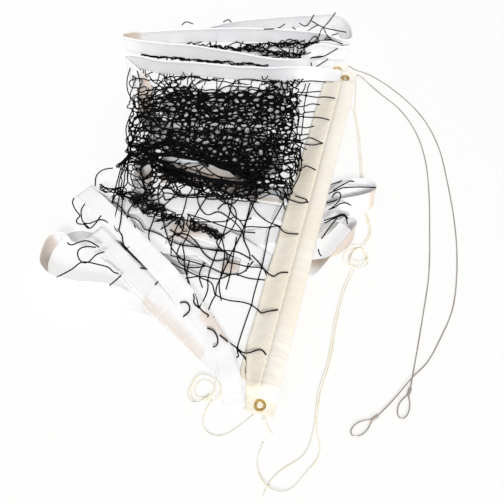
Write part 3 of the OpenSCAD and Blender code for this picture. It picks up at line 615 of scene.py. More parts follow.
def wires(name, lines, knots=()):
    """An object of edges: one chain for each line of points in metres, and loose points for knots."""
    verts, edges = [], []
    for line in lines:
        start = len(verts)
        verts += [tuple(p) for p in line]
        edges += [(start + i, start + i + 1) for i in range(len(line) - 1)]
    marks = [0.0] * len(verts) + [1.0] * len(knots)
    mesh = bpy.data.meshes.new(name)
    mesh.from_pydata(verts + [tuple(p) for p in knots], edges, [])
    layer = mesh.attributes.new("knot", "FLOAT", "POINT")
    layer.data.foreach_set("value", marks)
    return shown(name, mesh)


# ---------------------------------------------------------------- routes of the tapes

# A tape's cloth has a ring of points at each step, in mm, and lies this high at the lowest
TAPE_STEP, CLOTH_LOW = 7.0, 0.15
HEAD_W, CABLE_HEM = 50.0, 5.5
CABLE_Y = HEAD_W / 2 - CABLE_HEM / 2 - 0.5
# The end patches: turn in degrees, length, middles and heights, in mm
PATCH_TURN, PATCH_L = -16.0, 44.0
PATCH_FRONT, PATCH_BACK = (367.0, 365.0), (352.0, 426.0)
PATCH_Z, HEAD_FLAT_Z = 22.45, 3.05
# Layers of the folded tape lie this far apart, in mm
HEAD_PITCH = 6.2
HEAD_TOP_Z = HEAD_FLAT_Z + 4 * HEAD_PITCH


def off_patch(at, along, z):
    """A row of the tape's route, along mm off a patch's middle."""
    return [*from_spot(at, PATCH_TURN, along), z, 90 + PATCH_TURN, 0]


PATCH_END = -PATCH_L / 2 - 0.3

HEAD_ROWS = [
    *smooth([off_patch(PATCH_FRONT, PATCH_END, PATCH_Z), off_patch(PATCH_FRONT, PATCH_END - 22, PATCH_Z),
             [298, 381, PATCH_Z + 1, 86, 4], [250, 374, 28, 90, 40], [200, 367, 35, 90, 75], [145, 366, 37, 90, 90],
             [57, 370, 37, 90, 90], [-65, 385, 37, 90, 90], [-200, 401, 37, 90, 90], [-275, 421, 37, 90, 90],
             [-297, 420, 36, 90, 85], [-286, 396, 33, 60, 70], [-258, 360, 27, 30, 50], [-238, 325, 19, 10, 25],
             [-227, 285, 11, 5, 8], [-222, 245, 6, 5, 0], [-207, 206, HEAD_FLAT_Z, 30, 0],
             [-172, 188, HEAD_FLAT_Z, 75, 0]]),
    *stack(-140, 125, 188, HEAD_FLAT_Z, HEAD_PITCH, 5, 90),
    *turn(125, 216.5, 28.5, HEAD_TOP_Z, -90, 1, 90),
    *stack(125, -140, 245, HEAD_TOP_Z, -HEAD_PITCH, 5, 270),
    *turn(-140, 274, 29, HEAD_FLAT_Z, -90, -1, 270),
    *stack(-140, 125, 303, HEAD_FLAT_Z, HEAD_PITCH, 5, 90),
    *smooth([[150, 307, 22, 105, 0], [162, 327, 12, 160, 0], [162, 350, 4.8, 180, 0], [162, 375, HEAD_FLAT_Z, 180, 0],
             [164, 412, HEAD_FLAT_Z, 176, 0], [178, 440, HEAD_FLAT_Z, 135, 0], [210, 453, HEAD_FLAT_Z, 92, 0],
             [246, 461, 14, 90, 32], [280, 474, 33, 90, 80], [335, 464, 34, 90, 88], [366, 462, 34, 90, 88],
             [378, 471, 34, 90, 88], [366, 480, 33, 90, 88], [335, 484, 32, 90, 84], [286, 496, 22, 90, 50],
             [238, 509, 8, 90, 12], [190, 511, HEAD_FLAT_Z, 90, 0], [-150, 511, HEAD_FLAT_Z, 90, 0]]),
    *turn(-150, 539.5, 28.5, HEAD_FLAT_Z, -90, -1, 90),
    [-150, 568, HEAD_FLAT_Z, -90, 0],
    *smooth([[-110, 578, 9, -90, 22], [-50, 585, 24, -90, 65], [56, 601, 29, -90, 84], [183, 619, 29, -90, 82],
             [282, 630, 29, -80, 80], [325, 634, 30, -50, 72], [362, 608, 30, 0, 62], [379, 560, 30, 10, 60],
             [381, 514, 30, 10, 66], [369, 492, 32, 60, 78], [342, 503, 33, 90, 88], [306, 524, 33, 90, 90],
             [180, 545, 33, 90, 90], [80, 552, 33, 90, 90], [-60, 550, 33, 90, 90], [-200, 540, 33, 90, 90],
             [-290, 529, 34, 90, 90], [-312, 521, 35, 90, 89]]),
    *smooth([[-318, 513, 36, 90, 88], [-312, 505, 36, 90, 89], [-290, 497, 37, 90, 90], [-203, 477, 37, 90, 90],
             [-96, 464, 37, 90, 90], [24, 436, 37, 90, 90], [146, 405, 37, 90, 90], [228, 401, 36, 90, 80],
             [258, 420, 22, 90, 40], [284, 436, 6, 86, 6], off_patch(PATCH_BACK, PATCH_END - 22, HEAD_FLAT_Z),
             off_patch(PATCH_BACK, PATCH_END, HEAD_FLAT_Z)]),
]

BOTTOM_W, BOTTOM_T = 50.0, 2.4
FLAT_Z, BOTTOM_PITCH = 1.2, 3.6
FOLD_TOP_Z = FLAT_Z + 5 * BOTTOM_PITCH

BOTTOM_ROWS = [
    *smooth([[44, -590, FLAT_Z, 5, 0], [40, -562, 3, 5, 0], [33, -530, 7.5, 10, 0], [22, -485, 8.5, 20, 0],
             [-8, -435, 12, 38, 2], [-60, -362, 20, 45, 4], [-110, -300, 24, 45, 5], [-200, -203, 27, 45, 5],
             [-290, -112, 28, 45, 4], [-348, -55, 27, 45, 0]]),
    *fold(-350, -53, 27, 21, 135, 45),
    *smooth([[-346, -57, 21, 45, 0], [-315, -80, 20, 52, 0], [-270, -97, 18, 70, 0], [-210, -93, 19, 88, 0],
             [-150, -84, 22, 92, 0], [-40, -95, 24, 86, 0], [50, -106, 21, 86, 0], [110, -108, 12, 89, 0],
             [148, -107, 2.6, 90, 0], [166, -107, FLAT_Z, 90, 0], [262, -106, FLAT_Z, 90, 0], [278, -105, 3, 90, 8],
             [306, -102, 14, 90, 36], [345, -97, 24, 90, 60], [380, -84, 26.5, 90, 66], [391, -66, 27, 90, 70],
             [375, -46, 26, 90, 64], [336, -41, 21, 90, 50], [308, -46, 9, 90, 20], [286, -49, FLAT_Z, 90, 0],
             [150, -50, FLAT_Z, 90, 0]]),
    *smooth([[80, -38, FLAT_Z, 98, 0], [0, -14, FLAT_Z, 106, 0], [-60, 8, FLAT_Z, 102, 0], [-112, 15, FLAT_Z, 90, 0]]),
    *[p for p in stack(108, -160, 15, FLAT_Z, BOTTOM_PITCH, 6, 90) if p[0] < -150 or p[2] > 2],
    *turn(108, 45, 30, FOLD_TOP_Z, -90, 1, 90),
    *stack(108, -160, 75, FOLD_TOP_Z, -BOTTOM_PITCH, 6, 270),
    *turn(108, 104.5, 29.5, FLAT_Z, -90, 1, 270),
    *stack(108, -160, 134, FLAT_Z, BOTTOM_PITCH, 5, 450),
    *smooth([[-188, 128, 15, 475, 0], [-206, 95, 13, 540, 0], [-208, 30, 9, 540, 0], [-208, -40, 7, 540, 0],
             [-206, -108, 7, 560, 0], [-170, -150, 12, 605, 0], [-105, -158, 17, 622, 0], [-45, -172, 20, 614, 0],
             [30, -202, 19, 608, 0], [82, -232, 12, 608, 0], [120, -250, 4, 618, 0], [160, -262, FLAT_Z, 624, 0],
             [218, -268, FLAT_Z, 632, 0], [248, -256, 15, 640, 52], [288, -228, 25, 640, 92],
             [324, -186, 26, 640, 102],
             [332, -163, 26, 640, 98], [314, -146, 26, 640, 88], [288, -150, 17, 632, 48], [262, -158, 4.5, 630, 8],
             [240, -163, FLAT_Z, 630, 0], [150, -170, FLAT_Z, 628, 0], [60, -182, FLAT_Z, 626, 0],
             [-20, -184, FLAT_Z, 627, 0], [-70, -180, FLAT_Z, 626, 0], [-120, -176, FLAT_Z, 625, 0]]),
    *fold(-130, -175.2, FLAT_Z, 6.4, 175.4, 625.4),
    *smooth([[-118, -176.2, 6.6, 625, 0], [-86, -184, 10, 614, 0], [-34, -218, 12, 598, 0], [12, -252, 9, 604, 0],
             [40, -264, 6.4, 618, 0]]),
    *fold(52, -266, 6, FLAT_Z, -10, 620),
    *smooth([[40, -263.9, FLAT_Z, 620, 0], [10, -260, FLAT_Z, 624, 0], [-30, -258, FLAT_Z, 628, 0]]),
    *smooth([[-80, -256, FLAT_Z, 624, 0], [-150, -247, FLAT_Z, 614, 0],
             [-230, -222, FLAT_Z, 608, 0], [-300, -196, FLAT_Z, 610, 0], [-346, -184, 12, 612, 28],
             [-378, -186, 24, 620, 72], [-398, -206, 26, 630, 86], [-406, -240, 26, 640, 88],
             [-402, -275, 26, 640, 88],
             [-376, -304, 26, 640, 88], [-320, -319, 26, 640, 86]]),
    *smooth([[-285, -328, 24, 795, 78], [-252, -337, 14, 795, 42], [-222, -346, 5, 792, 8],
             [-190, -354, FLAT_Z, 788, 0],
             [-150, -366, FLAT_Z, 780, 0], [-115, -385, FLAT_Z, 771, 0], [-96, -404, FLAT_Z, 765, 0]]),
    *fold(-93, -407, FLAT_Z, 6, -45, 765),
    *smooth([[-96, -404, 6, 765, 0], [-126, -374, 11, 765, 3], [-204, -285, 13, 765, 0], [-304, -178, 15, 765, 0]]),
    *fold(-307, -175, 15, 19.5, 135, 765),
    *smooth([[-304, -178, 19.5, 765, 0], [-200, -281, 18, 765, 0], [-112, -374, 16, 765, 3], [-52, -438, 8, 763, 0],
             [-8, -482, 3, 757, 0], [33, -516.5, FLAT_Z, 750, 0]]),
]


def tape_frames(rows):
    """Travel, the way up the tape's width and the way out of its face, at each row."""
    rows = np.asarray(rows, float)
    t = ways_of(rows)
    a, e = np.radians(rows[:, 3]), np.radians(rows[:, 4])
    w = np.stack([np.cos(e) * np.cos(a), np.cos(e) * np.sin(a), np.sin(e)], axis=1)
    up = unit(w - (w * t).sum(1)[:, None] * t)
    return t, up, np.cross(t, up)


HEAD_NODES = ["head_tape_front", "head_tape_inner", "head_tape_middle", "head_tape_back", "head_tape_end"]
BOTTOM_NODES = ["bottom_tape_front", "bottom_tape_middle", "bottom_tape_folds", "bottom_tape_loops",
                "bottom_tape_left", "bottom_tape_back"]


def soft_path(route):
    """A tape's route in even steps, with its creases softened."""
    return eased(spaced(route, TAPE_STEP), 1)


def keep_tone_and_shade(piece, values):
    """Keeps how far each point takes its finish's second colour: its painted shade, and on the canvas its flap's tone
    too.
    """
    layer = piece.data.attributes.new("tone_and_shade", "FLOAT", "POINT")
    layer.data.foreach_set("value", np.asarray(values, np.float32).ravel())


def tape_skin(name, rows, section, ripple, seed, shade_spots):
    """The tape's cloth. section holds [out, up] in mm round its outline; its edges ripple by ripple mm. The spots
    paint warm shade onto it where it lies in shadow.
    """
    _, up, out = tape_frames(rows)
    s = run_of(rows)
    section = np.array(section, float)
    width = np.abs(section[:, 1]).max()
    low, mid, high = (waves(s, seed + k, length) for k, length in enumerate((95, 150, 70)))
    rings = []
    for q in section:
        v = q[1] / width
        lift = ripple * (mid + low * max(0, -v) + high * max(0, v)) * 0.6
        rings.append(rows[:, :3] + (q[0] + lift)[:, None] * out + (q[1] * (1 + 0.006 * mid))[:, None] * up)
    rings = np.stack(rings, axis=1)
    dip = rings[..., 2].min(axis=1)
    rings[..., 2] += np.maximum(0, CLOTH_LOW - dip)[:, None]
    piece = skin(name, place(rings))
    # Painted shade: each spot turns the tape beige on one face or both, where it lies in shadow
    side = np.sign(section[:, 0])[None]
    tone_and_shade = np.zeros(rings.shape[:2])
    for x, y, rx, ry, face, strength in shade_spots:
        far = ((rings[..., 0] - x) / rx) ** 2 + ((rings[..., 1] - y) / ry) ** 2
        tone_and_shade = np.maximum(tone_and_shade, strength * (1 - step01(far - 0.4)) * ((side == face) | (face == 0)))
    keep_tone_and_shade(piece, tone_and_shade)
    return piece


def edge_of(rows, across, out=0.0):
    """A line along a tape, across mm up its width and out mm off its middle."""
    _, up, face = tape_frames(rows)
    return place(rows[:, :3] + across * up + out * face)


# Where warm shade is painted onto a tape, in mm: x, y, half widths along x and y, the face (1, -1 or 0 for both),
# strength
HEAD_SHADE_SPOTS = [(-300, 512, 40, 40, -1, 1), (-232, 285, 26, 90, 0, 1)]
BOTTOM_SHADE_SPOTS = [(262, -238, 62, 40, 0, 1), (318, -200, 28, 32, 0, 1), (388, -66, 20, 44, 1, 1),
                (-406, -236, 22, 50, -1, 1), (70, -70, 90, 16, 0, 1), (-75, -165, 50, 26, 0, 1),
                (20, -14, 90, 26, 0, 1), (-110, 10, 130, 26, 0, 1), (30, -262, 26, 22, 0, 1)]
# Two long spots of painted shade on the foot run, each between two points: half width and strength
for start, end, half_width, strength in [((-156, -360), (-34, -474), 13, 0.6), ((-24, -394), (46, -450), 15, 0.8)]:
    BOTTOM_SHADE_SPOTS += [(x, y, half_width, half_width, 0, strength) for x, y in np.linspace(start, end, 11)]


def head_outline():
    """The head tape is doubled over the cable: thin and hemmed below, with the cable's bead above."""
    bead, wall, half = CABLE_HEM / 2, 0.8, HEAD_W / 2
    right = [[wall * 0.9, -half], [wall * 1.15, -half + 1.2], [wall, -half + 8], [wall * 0.8, -8], [wall, 6],
             [wall * 1.1, CABLE_Y - 5.5]]
    bow = [[bead * math.cos(a) * 0.98, CABLE_Y + bead * math.sin(a)] for a in np.radians([-35, 0, 35, 68])]
    side = right + bow
    return side + [[-q[0], q[1]] for q in side[::-1]]


def bottom_outline():
    """The bottom tape is flat, a little thicker at its hemmed edges."""
    half, w = BOTTOM_T / 2, BOTTOM_W / 2
    side = [[half * 0.5, -w], [half * 0.95, -w + 0.8], [half, -w + 5], [half * 0.8, -w / 3], [half * 0.8, w / 3],
            [half, w - 5], [half * 0.95, w - 0.8], [half * 0.5, w]]
    return side + [[-q[0], q[1]] for q in side[::-1]]


# ---------------------------------------------------------------- sizes and colours

class NetSizes(bpy.types.PropertyGroup):
    """The sizes that a user would change."""

    twine: bpy.props.FloatProperty(name="Twine", description="Diameter of the netting's twine",
                                   default=0.0034, min=0.001, max=0.004, unit="LENGTH")
    mesh_size: bpy.props.FloatProperty(name="Mesh", description="Length of twine between two knots",
                                       default=0.1, min=0.05, max=0.15, unit="LENGTH")
    cable: bpy.props.FloatProperty(name="Cable", description="Diameter of the steel cable",
                                   default=0.0032, min=0.002, max=0.006, unit="LENGTH")
    cord: bpy.props.FloatProperty(name="Tie cord", description="Diameter of the tie cords",
                                  default=0.004, min=0.002, max=0.006, unit="LENGTH")
    ripple: bpy.props.FloatProperty(name="Ripple", description="How far the tapes' edges wave",
                                    default=0.0013, min=0.0, max=0.003, unit="LENGTH")
    stitch: bpy.props.FloatProperty(name="Stitch pitch", description="From one stitch to the next",
                                    default=0.005, min=0.003, max=0.01, unit="LENGTH")
    seed: bpy.props.IntProperty(name="Seed", description="Which way the loose twine falls", default=11, min=0)


class NetColours(bpy.types.PropertyGroup):
    """The colours that a user would change."""

    tape_colour: bpy.props.FloatVectorProperty(name="Tapes", description="White of the head and bottom tapes",
                                               subtype="COLOR", size=3, default=(0.93, 0.93, 0.94), min=0, max=1)
    canvas_colour: bpy.props.FloatVectorProperty(name="Canvas", description="Cream of the side bands",
                                                 subtype="COLOR", size=3, default=(0.93, 0.905, 0.84), min=0, max=1)
    twine_colour: bpy.props.FloatVectorProperty(name="Netting", description="Black of the netting",
                                                subtype="COLOR", size=3, default=(0.003, 0.003, 0.004), min=0, max=1)
    cotton_colour: bpy.props.FloatVectorProperty(name="Tie cords", description="Natural cotton of the cords",
                                                 subtype="COLOR", size=3, default=(0.96, 0.93, 0.83), min=0, max=1)
    brass_colour: bpy.props.FloatVectorProperty(name="Grommets", description="Brass of the grommets",
                                                subtype="COLOR", size=3, default=(0.80, 0.58, 0.22), min=0, max=1)


def sizes():
    """The sizes chosen in the panel."""
    return bpy.context.scene.net_sizes


def colours():
    """The finishes, in the colours chosen in the panel."""
    return finishes(bpy.context.scene.net_colours)


# ---------------------------------------------------------------- camera and stage

# The camera's place in the layout in mm, how far down it looks in degrees, its sensor's width in mm, and its focal
# length as a share of that
EYE_POINT, LOOKS_DOWN = [81.0, -820.0, 1040.0], 60
SENSOR, LENS_SHARE = 36.0, 495.0 / 504.0


class NET_OT_camera(bpy.types.Operator):
    """Looks down on the net from its foot end."""

    bl_idname = "net.camera"
    bl_label = "Camera"

    def execute(self, context):
        data = bpy.data.cameras.new("view")
        data.sensor_fit = "HORIZONTAL"
        data.sensor_width = SENSOR
        data.lens = SENSOR * LENS_SHARE
        data.clip_end = 50.0
        view = shown("view", data)
        view.location = place(EYE_POINT)
        view.rotation_euler = (math.radians(90 - LOOKS_DOWN), 0, 0)
        context.scene.camera = view
        return {"FINISHED"}


# Each lamp's name, kind, place in metres, size (metres, or the angle of a sun) and power
LAMPS = (("key", "AREA", (-0.9, 0.4, 2.2), 1.6, 5.5), ("fill", "AREA", (0.9, -2.6, 0.9), 1.8, 9.0),
         ("front", "SUN", (0.2, -2.2, 2.1), math.radians(13), 2.2))


class NET_OT_stage(bpy.types.Operator):
    """A plain pale floor and soft lamps."""

    bl_idname = "net.stage"
    bl_label = "Stage"

    def execute(self, context):
        floor = new_mesh("floor", [(-30, -30, 0), (30, -30, 0), (30, 30, 0), (-30, 30, 0)], [(0, 1, 2, 3)], False)
        paint = Paint("floor", Base_Color=(0.92, 0.92, 0.92), Roughness=0.9, Specular_IOR_Level=0.1)
        seen = paint.node("ShaderNodeLightPath", {}, {}, "Is Camera Ray")
        share = seen.most(seen.beside("Is Glossy Ray")) * 0.72
        glow = paint.node("ShaderNodeEmission", {}, {})
        matt = Wire(paint, paint.shader.outputs[0])
        paint.put(paint.out.inputs[0], paint.node("ShaderNodeMixShader", {}, {0: share, 1: matt, 2: glow}))
        floor.data.materials.append(paint.material)
        for name, kind, spot, size, power in LAMPS:
            lamp = bpy.data.lights.new(name, kind)
            lamp.energy = power
            if kind == "SUN":
                lamp.angle = size
            else:
                lamp.shape, lamp.size = "DISK", size
            holder = shown(name, lamp)
            holder.location = spot
            aim = -np.array(spot) / np.linalg.norm(spot)
            holder.rotation_euler = (math.acos(-aim[2]), 0, math.atan2(aim[1], aim[0]) - math.pi / 2)
        world = bpy.data.worlds.new("room")
        world.use_nodes = True
        room = Board(world.node_tree)
        room.tree.nodes.clear()
        soft, white = (room.node("ShaderNodeBackground", {}, {"Color": colour, "Strength": strength})
                       for colour, strength in (((1.0, 0.97, 0.93), 0.46), ((1.0, 1.0, 1.0), 1.0)))
        seen = room.node("ShaderNodeLightPath", {}, {}, "Is Camera Ray")
        room.put(room.tree.nodes.new("ShaderNodeOutputWorld").inputs[0],
                 room.node("ShaderNodeMixShader", {}, {0: seen, 1: soft, 2: white}))
        context.scene.world = world
        context.scene.view_settings.view_transform = "Standard"
        return {"FINISHED"}


# ---------------------------------------------------------------- cords and cables

CORD_Z = 2.0
# The coil and the bundle: middle, inner radius, and turns or the angle where it starts
COIL_AT, COIL_R, COIL_TURNS = (-22.0, -549.0), 16.0, 3
BUNDLE_AT, BUNDLE_R, BUNDLE_START = (336.0, -236.0), 17.0, 200.0


def rounded(points, pitch=4.0, width=2):
    """A cord's route through chosen points, in mm, evenly spaced."""
    return eased(spaced(smooth(points, 12), pitch), width)


def lifted(points, z=CORD_Z):
    """The points at height z, where they have none of their own."""
    return [[p[0], p[1], p[2] if len(p) > 2 else z] for p in points]


def lay_cord(name, route, nodes, far_end, lay, diameter, material, slot, stiffness="limp", sides=10, lobes=3,
             depth=0.16, lay_m=0.012, with_pieces=()):
    """A free cord along a route in mm: its tube and its finish."""
    line = place(route)
    line[:, 2] = np.maximum(line[:, 2], diameter / 2)
    piece = skin(name, tube_rings(line, diameter / 2, sides, lobes, depth, lay_m))
    finish_piece(piece, material, nodes)
    return piece


# Places on each turn of a coil
PER_TURN = 24


def wound(at, r, turns, layers, start, wobble, slip, rise, seed):
    """A hand-wound coil: turns outward, then back inward, none quite round nor quite over the last one."""
    pitch, out = 4.8, []
    rng = np.random.default_rng(seed)
    phase, squash = rng.uniform(0, 6.28, 4), rng.uniform(0.4, 1.0, 4)
    for n in range(PER_TURN * turns * layers + 1):
        grow, a = min(n, 2 * PER_TURN * turns - n), math.radians(start - 360 / PER_TURN * n)
        q = r + 2 + pitch * grow / PER_TURN
        q += (wobble * sum(squash[k] * math.sin((k + 1) * a + phase[k]) for k in range(3))
              * (0.3 + 0.7 * grow / (2 * PER_TURN)))
        off = [slip * (math.sin(w * n / PER_TURN + k) - math.sin(k)) for w, k in ((2.3, 0.4), (3.1, 1.9))]
        out.append([at[0] + q * math.cos(a) + off[0], at[1] + q * math.sin(a) + off[1],
                    CORD_Z + rise * n / PER_TURN])
    return out


def sideways(route, off):
    """A route moved off mm to its left."""
    route = np.array(route, float)
    t = ways_of(route)
    return (route + off * np.stack([-t[:, 1], t[:, 0], 0 * t[:, 0]], axis=1)).tolist()


class NET_OT_tie_cords(bpy.types.Operator):
    """The cotton cords: a doubled one with its bundle from the head end, and a coiled one at the foot."""

    bl_idname = "net.tie_cords"
    bl_label = "Tie cords"

    def execute(self, context):
        cotton, d = colours()["cotton_finish"], sizes().cord
        lead = lifted([[378, 245], [380, 170], [377, 98], [372, 7], [367, -89], [374, -165], [360, -193]])
        tail = lifted([[294, -323], [269, -400], [246, -494], [221, -560], [208, -630]])
        left = rounded(lifted([[357, 306]]) + sideways(lead, -2.6) + lifted([[341, -208]]))
        right = rounded(lifted([[396, 366], [386, 300]]) + sideways(lead, 2.6) + lifted([[350, -210]]))
        bundle = spaced(smooth(wound(BUNDLE_AT, BUNDLE_R, 2, 2, BUNDLE_START, 4.5, 5.0, 3.0, 5), 4), 2.5)
        tail_left = rounded(lifted([[321, -262]]) + sideways(tail, -2.6)
                            + lifted([[186, -677], [137, -708], [111, -733], [102, -754]]))
        tail_right = rounded(lifted([[327, -265]]) + sideways(tail, 2.6)
                             + lifted([[214, -678], [187, -710], [149, -744], [117, -741, 7], [97, -721, 7],
                                       [91, -695], [103, -656]]))
        coil = spaced(smooth(wound(COIL_AT, COIL_R, COIL_TURNS, 1, -40, 3.6, 3.5, 2.6, 8), 4), 2.5)
        foot_lead = rounded(lifted([[85, -602.7], [61, -622], [19, -645], [-13, -635], [-19, -612], [-11, -590],
                                    [-1, -573.5]]))
        foot_tail = rounded(lifted([[105.2, -610.4, 3.5], [108.4, -616.4], [112, -625], [121.5, -641.5]]), 2.0)
        look = dict(diameter=d, material=cotton, slot="cotton_cord")
        for name, route, node, far_end, lay in (
                ("tie_cord_lead_left", left, "top_lead_left", "object", "loose"),
                ("tie_cord_lead_right", right, "top_lead_right", "object", "loose"),
                ("tie_cord_bundle", bundle, "top_cord_bundle", "object", "coiled"),
                ("tie_cord_tail_left", tail_left, "top_tail_left", "bare", "loose"),
                ("tie_cord_tail_right", tail_right, "top_tail_right", "bare", "loose"),
                ("foot_cord_lead", foot_lead, "bottom_cord_lead", "object", "loose"),
                ("foot_cord_coil", coil, "bottom_cord_coil", "bare", "coiled")):
            lay_cord(name, route, [node], far_end, lay, **look)
        # The overhand knot that stops the foot cord
        a = np.linspace(0, 2 * math.pi, 60)
        way = math.radians(-63)
        loop = np.stack([3.2 * np.cos(2 * a) * 0.9, (1.9 + 1.4 * np.cos(3 * a)) * np.sin(2 * a),
                         1.3 * np.sin(3 * a)], 1)
        spin = np.array([[math.cos(way), math.sin(way), 0], [-math.sin(way), math.cos(way), 0], [0, 0, 1]])
        knot_line = loop @ spin + np.array([106.2, -612.1, 4.4])
        knot = skin("foot_cord_knot", tube_rings(place(knot_line), d / 2 * 0.92, 10, 3, 0.16, 0.012))
        finish_piece(knot, cotton, ["bottom_cord_knot"])
        lay_cord("foot_cord_tail", foot_tail, ["bottom_cord_tail"], "bare", "loose", with_pieces=[knot], **look)
        return {"FINISHED"}


# Each crimped ferrule's middle, in mm, and the way it points, in degrees; then the ferrules' and eyes' sizes
FERRULES = {"back": ((330.0, -609.0), 213.0), "front": ((408.0, -556.0), 244.0)}
FERRULE_D, FERRULE_L, EYE_L, EYE_W = 8.0, 16.0, 54.0, 24.0
# Half of a ferrule's outline, up to its waist: radius and place along it, in mm
CRIMP = [[3.0, -8], [3.7, -7.7], [4.0, -7], [3.9, -5.6], [3.55, -4.6], [3.55, -3.2], [3.95, -2.2], [3.95, -0.7]]
# One side of an eye, from its ferrule to its tip: place along it and half width, in mm
EYE = [(-3, 1.7), (2, 1.9), (14, 0.32 * EYE_W), (30, 0.47 * EYE_W), (44, 0.38 * EYE_W), (EYE_L - 2, 0.14 * EYE_W)]


def patch_cable(at, z):
    """The cable's two places where it leaves a patch's hem."""
    return [[*from_spot(off_patch(at, along, z), 90 + PATCH_TURN, CABLE_Y), z]
            for along in (PATCH_L / 2 - 6, PATCH_L / 2 + 4)]


class NET_OT_cables(bpy.types.Operator):
    """The two free ends of the steel cable, with their crimped ferrules and eyes."""

    bl_idname = "net.cables"
    bl_label = "Steel cables"

    def execute(self, context):
        steel, d = colours()["steel_finish"], sizes().cable
        z, high = d * 500, FERRULE_D / 2
        ways = {"back": patch_cable(PATCH_BACK, HEAD_FLAT_Z) + lifted(
                    [[392, 431], [439, 404], [510, 330], [569, 229], [595, 119], [596, -12], [586, -162],
                     [565, -279], [536, -371], [497, -438], [455, -496], [418, -528, z + 4.2], [376, -570, 4]], z),
                "front": patch_cable(PATCH_FRONT, PATCH_Z) + lifted(
                    [[411, 371, PATCH_Z - 4], [434, 353, 8], [466, 317], [510, 257], [542, 168], [551, 76],
                     [544, -22], [525, -144], [497, -287], [469, -378], [443, -458], [427, -505], [418, -532]], z)}
        for end, route in ways.items():
            at, way = FERRULES[end]
            wire = [[*from_spot(at, way, FERRULE_L / 2 + u, v), high]
                    for u, v in EYE + [(u, -v) for u, v in EYE[::-1]]]
            eye = skin("cable_eye_" + end + "_wire",
                       tube_rings(place(rounded(wire, 1.4, 2)), d / 2, 12, 6, 0.24, 0.022))
            finish_piece(eye, steel, ["cable_eye_" + end])
            crimp = CRIMP + [[3.6, 0]] + [[r, -h] for r, h in CRIMP[::-1]]
            sleeve = lathe("cable_ferrule_" + end, crimp, [*at, high], (*from_spot((0, 0), way, 1), 0), 28)
            finish_piece(sleeve, steel, ["ferrule_" + end])
            line = rounded(route + [[*from_spot(at, way, along), high]
                                    for along in (-FERRULE_L / 2 + 1, FERRULE_L / 2 + 3)], 1.8, 2)
            lay_cord("cable_" + end, line, ["cable_tail_" + end], "fitting", "loose", d, steel, "steel_cable",
                     stiffness="stiff", sides=12, lobes=6, depth=0.24, lay_m=0.022, with_pieces=[sleeve, eye])
        return {"FINISHED"}


# ---------------------------------------------------------------- tapes

# The lowest that a seam's middle lies, in metres
SEAM_LOW = 0.0009


def stitch_rows(name, lines):
    """Rows of stitches along lines of points in metres."""
    pitch = sizes().stitch
    for line in lines:
        line[:, 2] = np.maximum(line[:, 2], SEAM_LOW)
    return grown(name, wires(name + "_row", lines), stitch_tree, colours()["thread_finish"],
                 Stitch_pitch=pitch, Stitch_length=pitch * 0.62, Thread=0.00042)


def lay_tape(name, route, outline, seed, shade_spots, nodes, seen, seams_at):
    """A folded tape with its seams, sewn where they can be seen: so far from its two ends, in mm."""
    rows = soft_path(route)
    tape = tape_skin(name, rows, outline, sizes().ripple * 1000, seed, shade_spots)
    finish_piece(tape, colours()["tape_cloth"], nodes)
    s = run_of(rows)
    seams = stitch_rows(name + "_seams", [edge_of(rows[part], across, out)
                                          for part in (s <= seen[0], s >= s[-1] - seen[1])
                                          for across, out in seams_at])
    finish_piece(seams, None)


class NET_OT_head_tape(bpy.types.Operator):
    """The doubled tape over the cable, in its whole folded length."""

    bl_idname = "net.head_tape"
    bl_label = "Head tape"

    def execute(self, context):
        low, high = -HEAD_W / 2 + 4, CABLE_Y - 5.2
        lay_tape("head_tape", HEAD_ROWS, head_outline(), 31, HEAD_SHADE_SPOTS, HEAD_NODES, (900, 2700),
                 ((high, 1.0), (high, -1.0), (low, 1.05), (low, -1.05)))
        return {"FINISHED"}


class NET_OT_bottom_tape(bpy.types.Operator):
    """The folded bottom tape, in its whole length."""

    bl_idname = "net.bottom_tape"
    bl_label = "Bottom tape"

    def execute(self, context):
        high = BOTTOM_W / 2 - 5
        lay_tape("bottom_tape", BOTTOM_ROWS, bottom_outline(), 47, BOTTOM_SHADE_SPOTS, BOTTOM_NODES,
                 (2300, 2300), ((high, 1.25), (high, -1.25), (-high, 1.25), (-high, -1.25)))
        return {"FINISHED"}


# ---------------------------------------------------------------- side bands, patches and grommets

# The front band's foot, the way that both bands are turned, their length, and how much further up the back one lies
FOOT_AT, BAND_TURN = (103.0, -605.0), -15.4
BAND_L, BAND_STAGGER = 975.0, 62.0
# Across a band, from the left: its edge, the seam of its sleeve and its fold
FLAT_END, SEAM_AT, FOLD_AT = -71.6, -19.6, 22.0
# Half the height of a band's flat part and of its sleeve with the rod in it, in mm
FLAT_HALF, SLEEVE_HALF = 0.85, 7.4
# The last place across a band's flat part, next to the seam of its sleeve
SEAM_STEP = 9


def band_place(across, along, z):
    """Points of the frame, in metres, from band coordinates in mm: across, from foot to head, and up."""
    across, along, z = np.broadcast_arrays(across, along, z)
    return place(np.stack([*from_spot(FOOT_AT, BAND_TURN, across, along), z], axis=-1))


def band_coordinates(x, y):
    """How far across the bands and how far along them places of the layout lie, in mm."""
    a = math.radians(BAND_TURN)
    return ((x - FOOT_AT[0]) * math.cos(a) + (y - FOOT_AT[1]) * math.sin(a),
            -(x - FOOT_AT[0]) * math.sin(a) + (y - FOOT_AT[1]) * math.cos(a))


